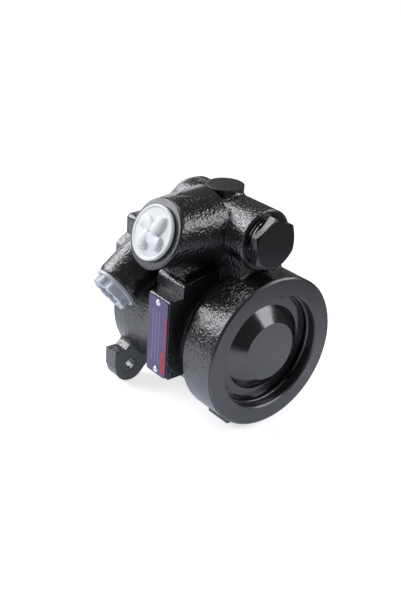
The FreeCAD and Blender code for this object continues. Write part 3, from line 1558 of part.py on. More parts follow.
for item in doc.Objects:
    if "Invalid" in item.State or "Error" in item.State:
        raise RuntimeError("%s failed: %s" % (item.Name, item.State))
os.makedirs("parts", exist_ok=True)
for item in made:
    if item.Shape.isNull() or not item.Shape.isValid():
        raise RuntimeError("%s has no valid shape" % item.Label)
    item.Shape.exportStep("parts/%s.step" % item.Label)
    print("%-26s %2d solids %12.1f mm3" % (item.Label, len(item.Shape.Solids), item.Shape.Volume))
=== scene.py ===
"""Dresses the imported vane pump: painted casting, turned cover, plastic port caps and nameplate.

Every length is in metres in the model's own frame: the shaft lies along Y with the
drive end at +Y, the sunk rear cover at -Y, and the ports and the nameplate at -X.
"""
import functools
import logging
import math
from dataclasses import dataclass, field
from enum import Enum
from typing import Callable, Union

import bmesh
import bpy
from mathutils import Matrix, Vector

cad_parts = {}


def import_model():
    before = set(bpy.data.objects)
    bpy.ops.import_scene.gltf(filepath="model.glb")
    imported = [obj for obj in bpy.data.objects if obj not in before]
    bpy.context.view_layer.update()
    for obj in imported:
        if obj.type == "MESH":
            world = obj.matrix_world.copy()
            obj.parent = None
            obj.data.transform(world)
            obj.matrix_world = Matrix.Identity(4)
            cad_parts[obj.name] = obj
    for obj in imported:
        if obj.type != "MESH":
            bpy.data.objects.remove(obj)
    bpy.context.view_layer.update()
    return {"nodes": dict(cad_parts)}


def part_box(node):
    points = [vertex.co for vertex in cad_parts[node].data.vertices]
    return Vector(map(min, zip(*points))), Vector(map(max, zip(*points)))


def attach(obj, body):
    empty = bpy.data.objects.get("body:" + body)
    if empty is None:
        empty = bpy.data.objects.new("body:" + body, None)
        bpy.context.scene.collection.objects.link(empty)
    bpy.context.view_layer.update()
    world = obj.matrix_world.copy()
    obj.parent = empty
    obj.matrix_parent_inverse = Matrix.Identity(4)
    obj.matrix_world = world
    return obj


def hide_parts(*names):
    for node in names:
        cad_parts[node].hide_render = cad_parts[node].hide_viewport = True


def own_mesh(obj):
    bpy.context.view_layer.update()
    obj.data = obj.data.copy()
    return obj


log = logging.getLogger("pump")
Number = Union[float, "Wire"]
MM = 0.001
# A Mix node repeats its socket names for each kind of data, so colours go by number.
MIX_SHARE, MIX_FIRST, MIX_SECOND, MIX_RESULT = 0, 6, 7, 2


class Graph:
    """The node tree of one material, with the few calls that its finishes need."""

    def __init__(self, name: str) -> None:
        """Starts an empty material.

        Args:
            name: The material's name.
        """
        self.material = bpy.data.materials.new(name)
        self.material.use_nodes = True
        self.tree = self.material.node_tree
        self.tree.nodes.clear()
        self.output = self.tree.nodes.new("ShaderNodeOutputMaterial")

    def node(self, kind: str, settings: dict[str, object] | None = None,
             **sockets: object) -> bpy.types.Node:
        """Adds one node, sets it up and fills its sockets.

        Args:
            kind: The node's type, without the ShaderNode prefix.
            settings: Attributes that are set before the sockets.
            **sockets: Socket names, with spaces as underscores, and their values or links.

        Returns:
            The new node.
        """
        made = self.tree.nodes.new("ShaderNode" + kind)
        for key, value in (settings or {}).items():
            setattr(made, key, value)
        for key, value in sockets.items():
            self._fill(self._socket(made, key), value)
        return made

    def _socket(self, made: bpy.types.Node, key: str) -> bpy.types.NodeSocket:
        """Finds an input by its name, or by its number in the form in_0."""
        if key.startswith("in_"):
            return made.inputs[int(key[3:])]
        return made.inputs[key.replace("_", " ")]

    def _fill(self, socket: bpy.types.NodeSocket, value: object) -> None:
        """Links a wire to a socket, or sets the socket's own value."""
        if isinstance(value, Wire):
            self.tree.links.new(value.socket, socket)
        elif isinstance(value, (tuple, list)) and socket.type == "RGBA" and len(value) == 3:
            socket.default_value = (*value, 1.0)
        else:
            socket.default_value = value

    def wire(self, made: bpy.types.Node, name: str | int = 0) -> "Wire":
        """Gives one output of a node as a wire."""
        return Wire(self, made.outputs[name])

    def place(self) -> "Wire":
        """Gives the surface point in the object's own coordinates."""
        return self.wire(self.node("TexCoord"), "Object")

    def split(self, vector: "Wire") -> tuple["Wire", "Wire", "Wire"]:
        """Splits a vector into its three numbers."""
        parts = self.node("SeparateXYZ", Vector=vector)
        return self.wire(parts, 0), self.wire(parts, 1), self.wire(parts, 2)

    def noise(self, at: "Wire", size: float, detail: float = 2.0, roughness: float = 0.5) -> "Wire":
        """Gives a noise with features about as large as the given size."""
        made = self.node("TexNoise", Vector=at, Scale=1 / size, Detail=detail, Roughness=roughness)
        return self.wire(made, 0)

    def step(self, value: "Wire", low: float, high: float) -> "Wire":
        """Gives 0 below low and 1 above high, smooth between, or the reverse if low is higher."""
        made = self.node("MapRange", {"interpolation_type": "SMOOTHSTEP", "clamp": True}, Value=value,
                         From_Min=low, From_Max=high, To_Min=0.0, To_Max=1.0)
        return self.wire(made, 0)

    def mix(self, share: Number, first: object, second: object) -> "Wire":
        """Mixes two colours by a share from 0 to 1."""
        made = self.node("Mix", {"data_type": "RGBA"})
        self._fill(made.inputs[MIX_SHARE], share)
        self._fill(made.inputs[MIX_FIRST], first)
        self._fill(made.inputs[MIX_SECOND], second)
        return Wire(self, made.outputs[MIX_RESULT])

    def bump(self, height: "Wire", distance: float, normal: "Wire | None" = None) -> "Wire":
        """Turns a height into a bumped normal."""
        made = self.node("Bump", Height=height, Distance=distance, Strength=1.0)
        if normal is not None:
            self._fill(made.inputs["Normal"], normal)
        return self.wire(made)

    def surface(self, **sockets: object) -> bpy.types.Material:
        """Ends the material in one Principled shader.

        Args:
            **sockets: The shader's socket names, with spaces as underscores, and their values.

        Returns:
            The finished material.
        """
        shader = self.node("BsdfPrincipled", None, **sockets)
        self.tree.links.new(shader.outputs[0], self.output.inputs[0])
        return self.material


class Wire:
    """One output socket; sums and products on it add the Math nodes."""

    def __init__(self, graph: Graph, socket: bpy.types.NodeSocket) -> None:
        """Wraps a socket of a graph."""
        self.graph = graph
        self.socket = socket

    def _math(self, operation: str, *values: Number) -> "Wire":
        """Adds one Math node on the given values."""
        sockets = {"in_%d" % place: value for place, value in enumerate(values)}
        return self.graph.wire(self.graph.node("Math", {"operation": operation}, **sockets))

    def __add__(self, other: Number) -> "Wire":
        """Adds."""
        return self._math("ADD", self, other)

    __radd__ = __add__

    def __sub__(self, other: Number) -> "Wire":
        """Takes away."""
        return self._math("SUBTRACT", self, other)

    def __rsub__(self, other: Number) -> "Wire":
        """Takes this from the other."""
        return self._math("SUBTRACT", other, self)

    def __mul__(self, other: Number) -> "Wire":
        """Multiplies."""
        return self._math("MULTIPLY", self, other)

    __rmul__ = __mul__

    def root(self) -> "Wire":
        """Gives the square root."""
        return self._math("SQRT", self)

    def sine(self) -> "Wire":
        """Gives the sine of radians."""
        return self._math("SINE", self)

    def larger(self, other: Number) -> "Wire":
        """Gives the larger of the two."""
        return self._math("MAXIMUM", self, other)


@dataclass(frozen=True)
class Port:
    """Where a port's axis starts, which way it leaves the housing, and its face and boss radius."""

    start: Vector
    tilt_deg: float
    face: float
    boss: float

    @property
    def out(self) -> Vector:
        """The direction out of the port."""
        tilt = math.radians(self.tilt_deg)
        return Vector((-math.cos(tilt), 0.0, math.sin(tilt)))

    def at(self, distance: float) -> Vector:
        """Gives the point on the axis at a distance from its start."""
        return self.start + self.out * distance

    def frame(self, distance: float) -> Matrix:
        """Gives a matrix whose Z axis points out of the port, with Y kept along the shaft."""
        out = self.out
        along = Vector((0.0, 1.0, 0.0))
        side = along.cross(out)
        turn = Matrix((side, along, out)).transposed()
        return Matrix.Translation(self.at(distance)) @ turn.to_4x4()


SUCTION = Port(Vector((-51.9, -49.0, 70.7)) * MM, 24.0, 0.8 * MM, 22.0 * MM)
PRESSURE = Port(Vector((0.0, -21.0, 68.4)) * MM, -35.0, 71.5 * MM, 16.0 * MM)


@dataclass(frozen=True)
class MachinedFaces:
    """Where the casting was machined. Each pair runs from its cast skin to the machined face."""

    valve_height: float = 68.4 * MM
    rear_y: tuple[float, float] = (-99.9 * MM, -100.2 * MM)
    bore_radius: tuple[float, float] = (38.2 * MM, 37.9 * MM)
    bore_y: tuple[float, float] = (-70.0 * MM, -72.0 * MM)
    plug_seat_y: tuple[float, float] = (-86.7 * MM, -86.95 * MM)
    plug_seat_radius: tuple[float, float] = (19.2 * MM, 18.9 * MM)
    flange_y: tuple[float, float] = (-0.4 * MM, -0.1 * MM)
    top_boss_z: tuple[float, float] = (90.8 * MM, 91.05 * MM)
    port_depth: tuple[float, float] = (-1.05 * MM, -0.8 * MM)
    port_edge: float = 0.5 * MM

    def mask(self, graph: Graph, at: Wire) -> Wire:
        """Marks the machined faces with 1 and the cast skin with 0.

        Args:
            graph: The material's graph.
            at: The surface point.

        Returns:
            The mask.
        """
        x, y, z = graph.split(at)
        lift = z - self.valve_height
        about_shaft, about_valve = (x * x + z * z).root(), (x * x + lift * lift).root()
        bore = graph.step(about_shaft, *self.bore_radius) * graph.step(y, *self.bore_y)
        seat = graph.step(y, *self.plug_seat_y) * graph.step(about_valve, *self.plug_seat_radius)
        mask = graph.step(y, *self.rear_y).larger(bore).larger(seat)
        mask = mask.larger(graph.step(y, *self.flange_y)).larger(graph.step(z, *self.top_boss_z))
        for port in (SUCTION, PRESSURE):
            right, back, up = x - port.start.x, y - port.start.y, z - port.start.z
            along = right * port.out.x + up * port.out.z
            across = right * port.out.z - up * port.out.x
            near = graph.step((across * across + back * back).root(),
                              port.boss + self.port_edge, port.boss)
            face = graph.step(along, *(port.face + depth for depth in self.port_depth))
            mask = mask.larger(face * near)
        return mask


class Coat(Enum):
    """Whether a painted surface was left rough by the mould or was turned first."""

    CAST = "cast"
    TURNED = "turned"


@dataclass(frozen=True)
class BlackPaint:
    """Glossy black paint, grainy over the cast skin and smooth over turned faces."""

    name: str
    coat: Coat
    colour: tuple[float, float, float] = (0.007, 0.0075, 0.009)
    dust: tuple[float, float, float] = (0.020, 0.021, 0.024)
    roughness: float = 0.27
    shine: float = 1.0
    corner: float = 0.6 * MM
    peel: float = 1.8 * MM
    grain: float = 1.0 * MM
    wave: float = 8.0 * MM
    cast_depth: float = 0.62 * MM
    paint_depth: float = 0.03 * MM

    def build(self) -> bpy.types.Material:
        """Makes the material."""
        graph = Graph(self.name)
        at = graph.place()
        peel = graph.noise(at, self.peel, 1.0)
        waves = graph.noise(at, self.wave)
        swell = graph.step(waves, 0.3, 0.7)
        if self.coat is Coat.CAST:
            turned = MachinedFaces().mask(graph, at)
            grain = graph.noise(at, self.grain, 1.0)
            height = (peel * 0.8 + grain * 0.35 + waves * 0.8) * (1.0 - turned * 0.97)
            rounded = graph.wire(graph.node("Bevel", {"samples": 6}, Radius=self.corner))
            normal = graph.bump(height, self.cast_depth, rounded)
            rough = swell * 0.06 + (self.roughness - 0.09) + turned * 0.12
        else:
            normal = graph.bump(peel * 0.5 + waves * 2.0, self.paint_depth)
            rough = swell * 0.05 + self.roughness
        dusty = graph.step(graph.noise(at, 14.0 * MM, 4.0, 0.6), 0.45, 0.75) * 0.3
        return graph.surface(Base_Color=graph.mix(dusty, self.colour, self.dust), Roughness=rough,
                             Normal=normal, Coat_Weight=0.3, Coat_Roughness=0.15,
                             Specular_IOR_Level=self.shine)


@dataclass(frozen=True)
class Steel:
    """Bare, ground or plated steel with fine turning marks about the shaft."""

    name: str
    colour: tuple[float, float, float] = (0.56, 0.57, 0.58)
    roughness: float = 0.24
    marks: float = 0.5
    pitch: float = 0.35 * MM
    depth: float = 0.004 * MM

    def build(self) -> bpy.types.Material:
        """Makes the material."""
        graph = Graph(self.name)
        at = graph.place()
        x, y, z = graph.split(at)
        rings = (((x * x + z * z).root() + y) * (math.tau / self.pitch)).sine()
        cloud = graph.noise(at, 6.0 * MM, 3.0)
        darker = tuple(part * 0.72 for part in self.colour)
        colour = graph.mix(graph.step(cloud, 0.35, 0.8) * 0.4, self.colour, darker)
        normal = graph.bump(rings * self.marks + graph.noise(at, 0.3 * MM) * 0.6, self.depth)
        return graph.surface(Base_Color=colour, Metallic=1.0, Normal=normal,
                             Roughness=graph.step(cloud, 0.3, 0.75) * 0.14 + self.roughness)


@dataclass(frozen=True)
class ThreadedSteel:
    """Ground steel of the drive shaft, with a thread rolled on its end and painted shade in its grooves."""

    name: str
    colour: tuple[float, float, float] = (0.52, 0.53, 0.54)
    roughness: float = 0.22
    start: float = 27.0 * MM
    runout: float = 0.3 * MM
    pitch: float = 1.5 * MM
    lathe_pitch: float = 0.3 * MM
    depth: float = 0.5 * MM

    def build(self) -> bpy.types.Material:
        """Makes the material."""
        graph = Graph(self.name)
        at = graph.place()
        x, y, z = graph.split(at)
        turn = graph.wire(graph.node("Math", {"operation": "ARCTAN2"}, in_0=x, in_1=z))
        thread = (y * (math.tau / self.pitch) + turn).sine()
        thread = thread * graph.step(y, self.start, self.start + self.runout)
        lathe = (y * (math.tau / self.lathe_pitch)).sine() * 0.012
        # Painted shade: the thread's grooves are coloured darker than its crests.
        darker = tuple(part * 0.55 for part in self.colour)
        colour = graph.mix(graph.step(thread, -1.0, 0.2), darker, self.colour)
        cloud = graph.noise(at, 5.0 * MM, 3.0)
        return graph.surface(Base_Color=colour, Metallic=1.0,
                             Normal=graph.bump(thread * 0.5 + lathe, self.depth),
                             Roughness=graph.step(cloud, 0.3, 0.7) * 0.15 + self.roughness)


@dataclass(frozen=True)
class Plastic:
    """Soft injection moulded plastic of a port cap, slightly see-through."""

    name: str
    colour: tuple[float, float, float]
    glow: float = 0.35
    glow_reach: float = 3.0 * MM
    clear: float = 0.0
    roughness: float = 0.32

    def build(self) -> bpy.types.Material:
        """Makes the material."""
        graph = Graph(self.name)
        at = graph.place()
        flow = graph.noise(at, 5.0 * MM, 3.0)
        darker = tuple(part * 0.93 for part in self.colour)
        colour = graph.mix(graph.step(flow, 0.3, 0.8) * 0.5, self.colour, darker)
        normal = graph.bump(graph.noise(at, 2.2 * MM), 0.05 * MM)
        return graph.surface(Base_Color=colour, Normal=normal,
                             Roughness=graph.step(flow, 0.2, 0.8) * 0.1 + self.roughness,
                             Subsurface_Weight=self.glow, Subsurface_Radius=(0.7, 0.8, 1.0),
                             Subsurface_Scale=self.glow_reach, Transmission_Weight=self.clear)


@dataclass(frozen=True)
class PrintedPlate:
    """Violet printed aluminium plate with a plain red block, a red line and pale rules."""

    name: str
    colour: tuple[float, float, float] = (0.115, 0.095, 0.195)
    stripe: tuple[float, float, float] = (0.42, 0.035, 0.045)
    rule: tuple[float, float, float] = (0.42, 0.40, 0.52)
    worn: tuple[float, float, float] = (0.30, 0.29, 0.36)
    front: float = -66.8 * MM
    back: float = -48.5 * MM
    bottom: float = -17.8 * MM
    top: float = 33.3 * MM
    margin: float = 0.8 * MM
    foot: float = 2.5 * MM
    block_share: float = 0.26
    block_top: float = 17.0 * MM
    line_share: float = 0.12
    line_gap: float = 9.0 * MM
    rule_shares: tuple[float, ...] = (0.42, 0.58, 0.74)
    rule_half: float = 0.22 * MM
    rule_gap: float = 8.0 * MM
    rim: tuple[float, float] = (0.5 * MM, 0.4 * MM)
    fade: float = 0.06 * MM

    def between(self, graph: Graph, value: Wire, low: float, high: float) -> Wire:
        """Marks with 1 where a value lies between two limits."""
        return (graph.step(value, low - self.fade, low + self.fade)
                * graph.step(value, high + self.fade, high - self.fade))

    def red_marks(self, graph: Graph, y: Wire, z: Wire) -> Wire:
        """Marks the red block and the red line above it."""
        width, left, foot = self.back - self.front, self.front + self.margin, self.bottom + self.foot
        block = self.between(graph, y, left, self.front + self.block_share * width)
        block = block * self.between(graph, z, foot, self.bottom + self.block_top)
        line = self.between(graph, y, left, self.front + self.line_share * width)
        line = line * self.between(graph, z, foot, self.top - self.line_gap)
        return block.larger(line)

    def pale_rules(self, graph: Graph, y: Wire, z: Wire) -> Wire:
        """Marks the thin pale rules."""
        middles = [self.front + share * (self.back - self.front) for share in self.rule_shares]
        rules = [self.between(graph, y, middle - self.rule_half, middle + self.rule_half)
                 for middle in middles]
        long = self.between(graph, z, self.bottom + self.rule_gap, self.top - self.rule_gap)
        return functools.reduce(Wire.larger, rules) * long

    def rolled_rim(self, graph: Graph, y: Wire, z: Wire) -> Wire:
        """Marks the rolled edge all round the plate."""
        outer, inner = self.rim
        sides = ((y, self.back, -1), (y, self.front, 1), (z, self.top, -1), (z, self.bottom, 1))
        return functools.reduce(Wire.larger, (graph.step(value, edge + way * outer, edge + way * inner)
                                              for value, edge, way in sides))

    def build(self) -> bpy.types.Material:
        """Makes the material."""
        graph = Graph(self.name)
        at = graph.place()
        _, y, z = graph.split(at)
        scuff = graph.step(graph.noise(at, 4.0 * MM, 5.0, 0.65), 0.5, 0.8)
        ink = graph.mix(self.pale_rules(graph, y, z) * 0.55, self.colour, self.rule)
        ink = graph.mix(self.red_marks(graph, y, z), ink, self.stripe)
        relief = graph.noise(at, 0.4 * MM) * 0.6 - self.rolled_rim(graph, y, z) * 3.0
        return graph.surface(Base_Color=graph.mix(scuff * 0.25, ink, self.worn), Metallic=0.55,
                             Normal=graph.bump(relief, 0.02 * MM), Roughness=scuff * 0.2 + 0.3)


@dataclass(frozen=True)
class Rubber:
    """Black oil-proof rubber of the seals."""

    name: str

    def build(self) -> bpy.types.Material:
        """Makes the material."""
        graph = Graph(self.name)
        at = graph.place()
        normal = graph.bump(graph.noise(at, 0.5 * MM, 3.0), 0.03 * MM)
        shade = graph.mix(graph.noise(at, 4.0 * MM), (0.012, 0.012, 0.013), (0.022, 0.022, 0.023))
        return graph.surface(Base_Color=shade, Roughness=0.55, Normal=normal)


PAINT = BlackPaint("black_paint_on_casting", Coat.CAST)
COVER_PAINT = BlackPaint("black_paint_on_turned_steel", Coat.TURNED, roughness=0.13)
PLUG_PAINT = BlackPaint("black_paint_on_plug", Coat.TURNED, colour=(0.005, 0.005, 0.007), roughness=0.1,
                        shine=0.7)
BRIGHT = Steel("bright_ball_steel", colour=(0.75, 0.76, 0.78), roughness=0.16)
ALLOY = Steel("rivet_aluminium", colour=(0.86, 0.86, 0.89), roughness=0.42, marks=0.0)
WIRE = Steel("dark_wire_steel", colour=(0.10, 0.10, 0.11), roughness=0.22)
GROUND = Steel("ground_steel")
ZINC = Steel("zinc_plated_steel", colour=(0.66, 0.66, 0.63), roughness=0.3)
SPRING = Steel("spring_steel", colour=(0.36, 0.37, 0.39), roughness=0.3)
BRONZE = Steel("bush_bronze", colour=(0.60, 0.40, 0.18), roughness=0.32)
SHAFT = ThreadedSteel("drive_shaft_steel")
WHITE_CAP = Plastic("white_cap_plastic", (0.88, 0.90, 0.93))
GREY_CAP = Plastic("grey_cap_plastic", (0.70, 0.74, 0.80), glow=0.3, clear=0.2, roughness=0.25)
INK = PrintedPlate("nameplate_print")
SEAL = Rubber("seal_rubber")
Finish = Union[BlackPaint, Steel, ThreadedSteel, Plastic, PrintedPlate, Rubber]


class Finishes:
    """The finished materials, each made once."""

    def __init__(self) -> None:
        """Starts with none made."""
        self._made: dict[str, bpy.types.Material] = {}

    def get(self, finish: Finish) -> bpy.types.Material:
        """Gives the material of a finish, making it the first time."""
        if finish.name not in self._made:
            self._made[finish.name] = finish.build()
        return self._made[finish.name]


def only(*objects: bpy.types.Object) -> None:
    """Selects these objects alone, or none, and makes the first of them active."""
    bpy.ops.object.select_all(action="DESELECT")
    for thing in objects:
        thing.select_set(True)
    if objects:
        bpy.context.view_layer.objects.active = objects[0]


def dress(piece: bpy.types.Object, material: bpy.types.Material) -> None:
    """Gives a piece one material all over."""
    piece.data.materials.clear()
    piece.data.materials.append(material)
    for face in piece.data.polygons:
        face.material_index = 0


def soften(node: bpy.types.Object, angle: float = 28.0, seam: float = 0.002 * MM) -> None:
    """Shades a CAD node smoothly up to an angle, with live modifiers only.

    Args:
        node: The CAD node's object.
        angle: The largest angle in degrees that still shades as one surface.
        seam: The distance under which two points join.
    """
    for face in node.data.polygons:
        face.use_smooth = True
    weld = node.modifiers.new("joined", "WELD")
    weld.merge_threshold = seam
    crease = node.modifiers.new("creased", "EDGE_SPLIT")
    crease.split_angle = math.radians(angle)
    crease.use_edge_sharp = False
    level = node.modifiers.new("levelled", "WEIGHTED_NORMAL")
    level.mode = "FACE_AREA"
    level.weight = 100


def pick_faces(piece: bpy.types.Object, wanted: Callable[[Vector, Vector], bool]) -> None:
    """Selects faces in edit mode.

    Args:
        piece: The object in edit mode.
        wanted: A test on a face's middle and its normal.
    """
    bpy.ops.mesh.select_all(action="DESELECT")
    bpy.ops.mesh.select_mode(type="FACE")
    mesh = bmesh.from_edit_mesh(piece.data)
    for face in mesh.faces:
        face.select_set(wanted(face.calc_center_median(), face.normal))
    bmesh.update_edit_mesh(piece.data)


def apply_modifier(piece: bpy.types.Object, kind: str, **settings: object) -> None:
    """Adds one modifier to a piece and applies it.

    Args:
        piece: The object to change.
        kind: The modifier's type.
        **settings: The modifier's settings.
    """
    only(piece)
    modifier = piece.modifiers.new(kind.lower(), kind)
    for key, value in settings.items():
        setattr(modifier, key, value)
    bpy.ops.object.modifier_apply(modifier=modifier.name)


def push(distance: float) -> None:
    """Extrudes the selected faces along Z by a distance."""
    bpy.ops.mesh.extrude_region_move(TRANSFORM_OT_translate={"value": (0.0, 0.0, distance)})


def ring_of(piece: bpy.types.Object, count: int, radius: float, turned: bool) -> list[bpy.types.Object]:
    """Spaces a piece and its copies evenly about the Z axis.

    Args:
        piece: The finished piece, modelled on the axis.
        count: How many there are in all.
        radius: How far out each one is moved.
        turned: Whether each one is also turned to face outwards.

    Returns:
        The piece and its copies, each with its own mesh.
    """
    pieces = [piece]
    for _ in range(count - 1):
        only(piece)
        bpy.ops.object.duplicate()
        pieces.append(bpy.context.object)
    for number, copy in enumerate(pieces):
        angle = math.tau * number / count
        copy.location = (radius * math.cos(angle), radius * math.sin(angle), 0.0)
        copy.rotation_euler = (0.0, 0.0, angle if turned else 0.0)
    only(*pieces)
    bpy.ops.object.transform_apply(location=True, rotation=True, scale=True)
    return pieces


@dataclass(frozen=True)
class PortCap:
    """A soft plastic cap pressed into a port, built upright and then set on the port's axis."""

    name: str
    node: str
    body: str
    slot: str
    port: Port
    finish: Plastic
    disc_radius: float
    shank_radius: float
    shank_end: float
    under: float
    thickness: float
    grip_height: float
    grip_reach: float
    grip_count: int
    turn_deg: float = 0.0
    wall: float = 1.6 * MM
    rim: float = 1.3 * MM
    dish: float = 0.5 * MM
    voxel: float = 0.28 * MM

    @property
    def top(self) -> float:
        """The height of the disc's outer face."""
        return self.under + self.thickness

    def build(self, finishes: Finishes) -> bpy.types.Object:
        """Models the cap, dresses it and lets it stand for its CAD node.

        Args:
            finishes: The store of made materials.

        Returns:
            The finished cap.
        """
        only(self.build_disc(), *self.build_grip())
        bpy.ops.object.join()
        cap = bpy.context.object
        apply_modifier(cap, "REMESH", mode="VOXEL", voxel_size=self.voxel)
        apply_modifier(cap, "SMOOTH", factor=0.5, iterations=6)
        for face in cap.data.polygons:
            face.use_smooth = True
        turn = Matrix.Rotation(math.radians(self.turn_deg), 4, "Z")
        cap.matrix_world = self.port.frame(0.0) @ turn
        only(cap)
        bpy.ops.object.transform_apply(location=True, rotation=True, scale=True)
        cap.name = self.name
        dress(cap, finishes.get(self.finish))
        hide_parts(self.node)
        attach(cap, self.body)
        log.info("modelled %s, %d faces", self.name, len(cap.data.polygons))
        return cap

    def build_disc(self) -> bpy.types.Object:
        """Models the flange disc with its dished face and the hollow shank under it."""
        only()
        bpy.ops.mesh.primitive_cylinder_add(vertices=96, radius=self.disc_radius, depth=self.thickness,
                                            location=(0, 0, self.under + self.thickness / 2))
        disc = bpy.context.object
        bpy.ops.object.transform_apply(location=True)
        bpy.ops.object.mode_set(mode="EDIT")
        pick_faces(disc, lambda middle, normal: normal.z < -0.9)
        bpy.ops.mesh.inset(thickness=self.disc_radius - self.shank_radius, depth=0)
        push(self.shank_end - self.under)
        bpy.ops.mesh.inset(thickness=self.wall, depth=0)
        push(self.top - self.wall - self.shank_end)
        pick_faces(disc, lambda middle, normal: normal.z > 0.9 and middle.z > self.top - self.wall / 2)
        bpy.ops.mesh.inset(thickness=self.rim, depth=0)
        bpy.ops.mesh.inset(thickness=self.dish, depth=0)
        bpy.ops.transform.translate(value=(0.0, 0.0, -self.dish))
        bpy.ops.object.mode_set(mode="OBJECT")
        return disc

    def build_grip(self) -> list[bpy.types.Object]:
        """Models the finger grip, which each kind of cap has in its own shape."""
        raise NotImplementedError


@dataclass(frozen=True)
class SwirlCap(PortCap):
    """A cap whose grip is a ring of curved finger lobes that meet in its middle."""

    root: float = 1.4 * MM
    stub: float = 2.0 * MM
    breadth: float = 9.0 * MM
    curl_deg: float = 17.0
    curl_steps: int = 4

    def build_grip(self) -> list[bpy.types.Object]:
        """Models one lobe and sets its copies round the middle of the disc."""
        height = self.grip_height + self.root
        only()
        bpy.ops.mesh.primitive_cube_add(size=1.0, location=(0, 0, 0))
        lobe = bpy.context.object
        bpy.ops.object.mode_set(mode="EDIT")
        bpy.ops.mesh.select_all(action="SELECT")
        bpy.ops.transform.resize(value=(self.stub, self.breadth, height))
        bpy.ops.transform.translate(value=(self.stub / 2, 0.0, self.top - self.root + height / 2))
        pick_faces(lobe, lambda middle, normal: normal.x > 0.9)
        self.curl_out()
        bpy.ops.object.mode_set(mode="OBJECT")
        apply_modifier(lobe, "SUBSURF", levels=3, render_levels=3)
        return ring_of(lobe, self.grip_count, 0.0, turned=True)

    def curl_out(self) -> None:
        """Extrudes the selected end of a lobe outwards in a curl."""
        place = Vector((self.stub, 0.0, 0.0))
        bend = math.radians(self.curl_deg)
        for number in range(1, self.curl_steps + 1):
            heading = bend * number
            move = Vector((math.cos(heading), math.sin(heading), 0.0)) * (self.grip_reach / self.curl_steps)
            place += move
            bpy.ops.mesh.extrude_region_move(TRANSFORM_OT_translate={"value": tuple(move)})
            bpy.ops.transform.rotate(value=-bend, orient_axis="Z", center_override=tuple(place))


@dataclass(frozen=True)
class CrownCap(PortCap):
    """A cap whose grip is a scalloped crown with a hollow end."""

    root: float = 1.0 * MM
    lobe: float = 2.9 * MM
    lobe_inset: float = 0.8 * MM
    lobe_crown: float = 0.35 * MM
    crown_wall: float = 2.6 * MM
    hollow_share: float = 0.7

    def build_grip(self) -> list[bpy.types.Object]:
        """Models the hollow core and one scallop, and sets the scallop's copies round the core."""
        height = self.grip_height + self.root
        middle = (0, 0, self.top - self.root + height / 2)
        core = self.add_post(self.grip_reach - self.lobe * 0.55, 96, height, middle)
        bpy.ops.mesh.inset(thickness=self.crown_wall, depth=0)
        push(-self.grip_height * self.hollow_share)
        bpy.ops.object.mode_set(mode="OBJECT")
        scallop = self.add_post(self.lobe, 24, height, middle)
        bpy.ops.mesh.inset(thickness=self.lobe_inset, depth=0)
        bpy.ops.transform.translate(value=(0.0, 0.0, self.lobe_crown))
        bpy.ops.object.mode_set(mode="OBJECT")
        return [core, *ring_of(scallop, self.grip_count, self.grip_reach - self.lobe, turned=False)]

    def add_post(self, radius: float, vertices: int, height: float,
                 middle: tuple[float, float, float]) -> bpy.types.Object:
        """Adds an upright cylinder and leaves it in edit mode with its upper end selected.

        Args:
            radius: The cylinder's radius.
            vertices: How many sides it has.
            height: Its height.
            middle: Where its middle stands.

        Returns:
            The cylinder.
        """
        only()
        bpy.ops.mesh.primitive_cylinder_add(vertices=vertices, radius=radius, depth=height, location=middle)
        post = bpy.context.object
        bpy.ops.object.transform_apply(location=True)
        bpy.ops.object.mode_set(mode="EDIT")
        pick_faces(post, lambda centre, normal: normal.z > 0.9)
        return post


@dataclass
class SubAssembly:
    """A group of CAD nodes that belong together, with the finish of each."""

    nodes: dict[str, bpy.types.Object]
    finishes: Finishes
    dressing: dict[str, Finish] = field(default_factory=dict)

    def dress_nodes(self) -> None:
        """Dresses and softens the CAD nodes of this group."""
        for name, finish in self.dressing.items():
            node = self.nodes[name]
            dress(node, self.finishes.get(finish))
            soften(node)
            log.info("dressed %s with %s", name, finish.name)

    def build(self) -> None:
        """Builds the group's looks."""
        self.dress_nodes()


@dataclass
class Casing(SubAssembly):
    """The painted casting with its cover, wire ring, plug and nameplate."""

    dressing: dict[str, Finish] = field(default_factory=lambda: {
        "housing": PAINT,
        "rear_cover": COVER_PAINT,
        "cover_retaining_ring": WIRE,
        "cover_seal_ring": SEAL,
        "valve_plug": PLUG_PAINT,
        "plug_washer": PLUG_PAINT,
        "nameplate": INK,
        "nameplate_rivets": ALLOY,
    })

    def build(self) -> None:
        """Dresses the casing and models the two port caps."""
        self.dress_nodes()
        SwirlCap("white_port_cap", "port_cap_a", "cap_a_body", "white_plastic", SUCTION, WHITE_CAP,
                 disc_radius=16.6 * MM, shank_radius=13.1 * MM, shank_end=-5.2 * MM, under=1.2 * MM,
                 thickness=2.6 * MM, grip_height=2.3 * MM, grip_reach=11.0 * MM, grip_count=4,
                 turn_deg=35.0).build(self.finishes)
        CrownCap("grey_port_cap", "port_cap_b", "cap_b_body", "clear_plastic", PRESSURE, GREY_CAP,
                 disc_radius=14.7 * MM, shank_radius=9.1 * MM, shank_end=66.5 * MM, under=71.9 * MM,
                 thickness=2.2 * MM, grip_height=5.2 * MM, grip_reach=13.2 * MM,
                 grip_count=9).build(self.finishes)


@dataclass
class Cartridge(SubAssembly):
    """The pump cartridge inside the barrel."""

    dressing: dict[str, Finish] = field(default_factory=lambda: {
        "cartridge_disc_spring": SPRING,
        "pressure_plate": GROUND,
        "pressure_plate_seal_ring": SEAL,
        "rear_bush": BRONZE,
        "cam_ring": GROUND,
        "port_plate": GROUND,
        "locating_pins": GROUND,
        "rotor": GROUND,
        "rotor_circlip": SPRING,
        **{"vane_%02d" % number: GROUND for number in range(1, 11)},
    })


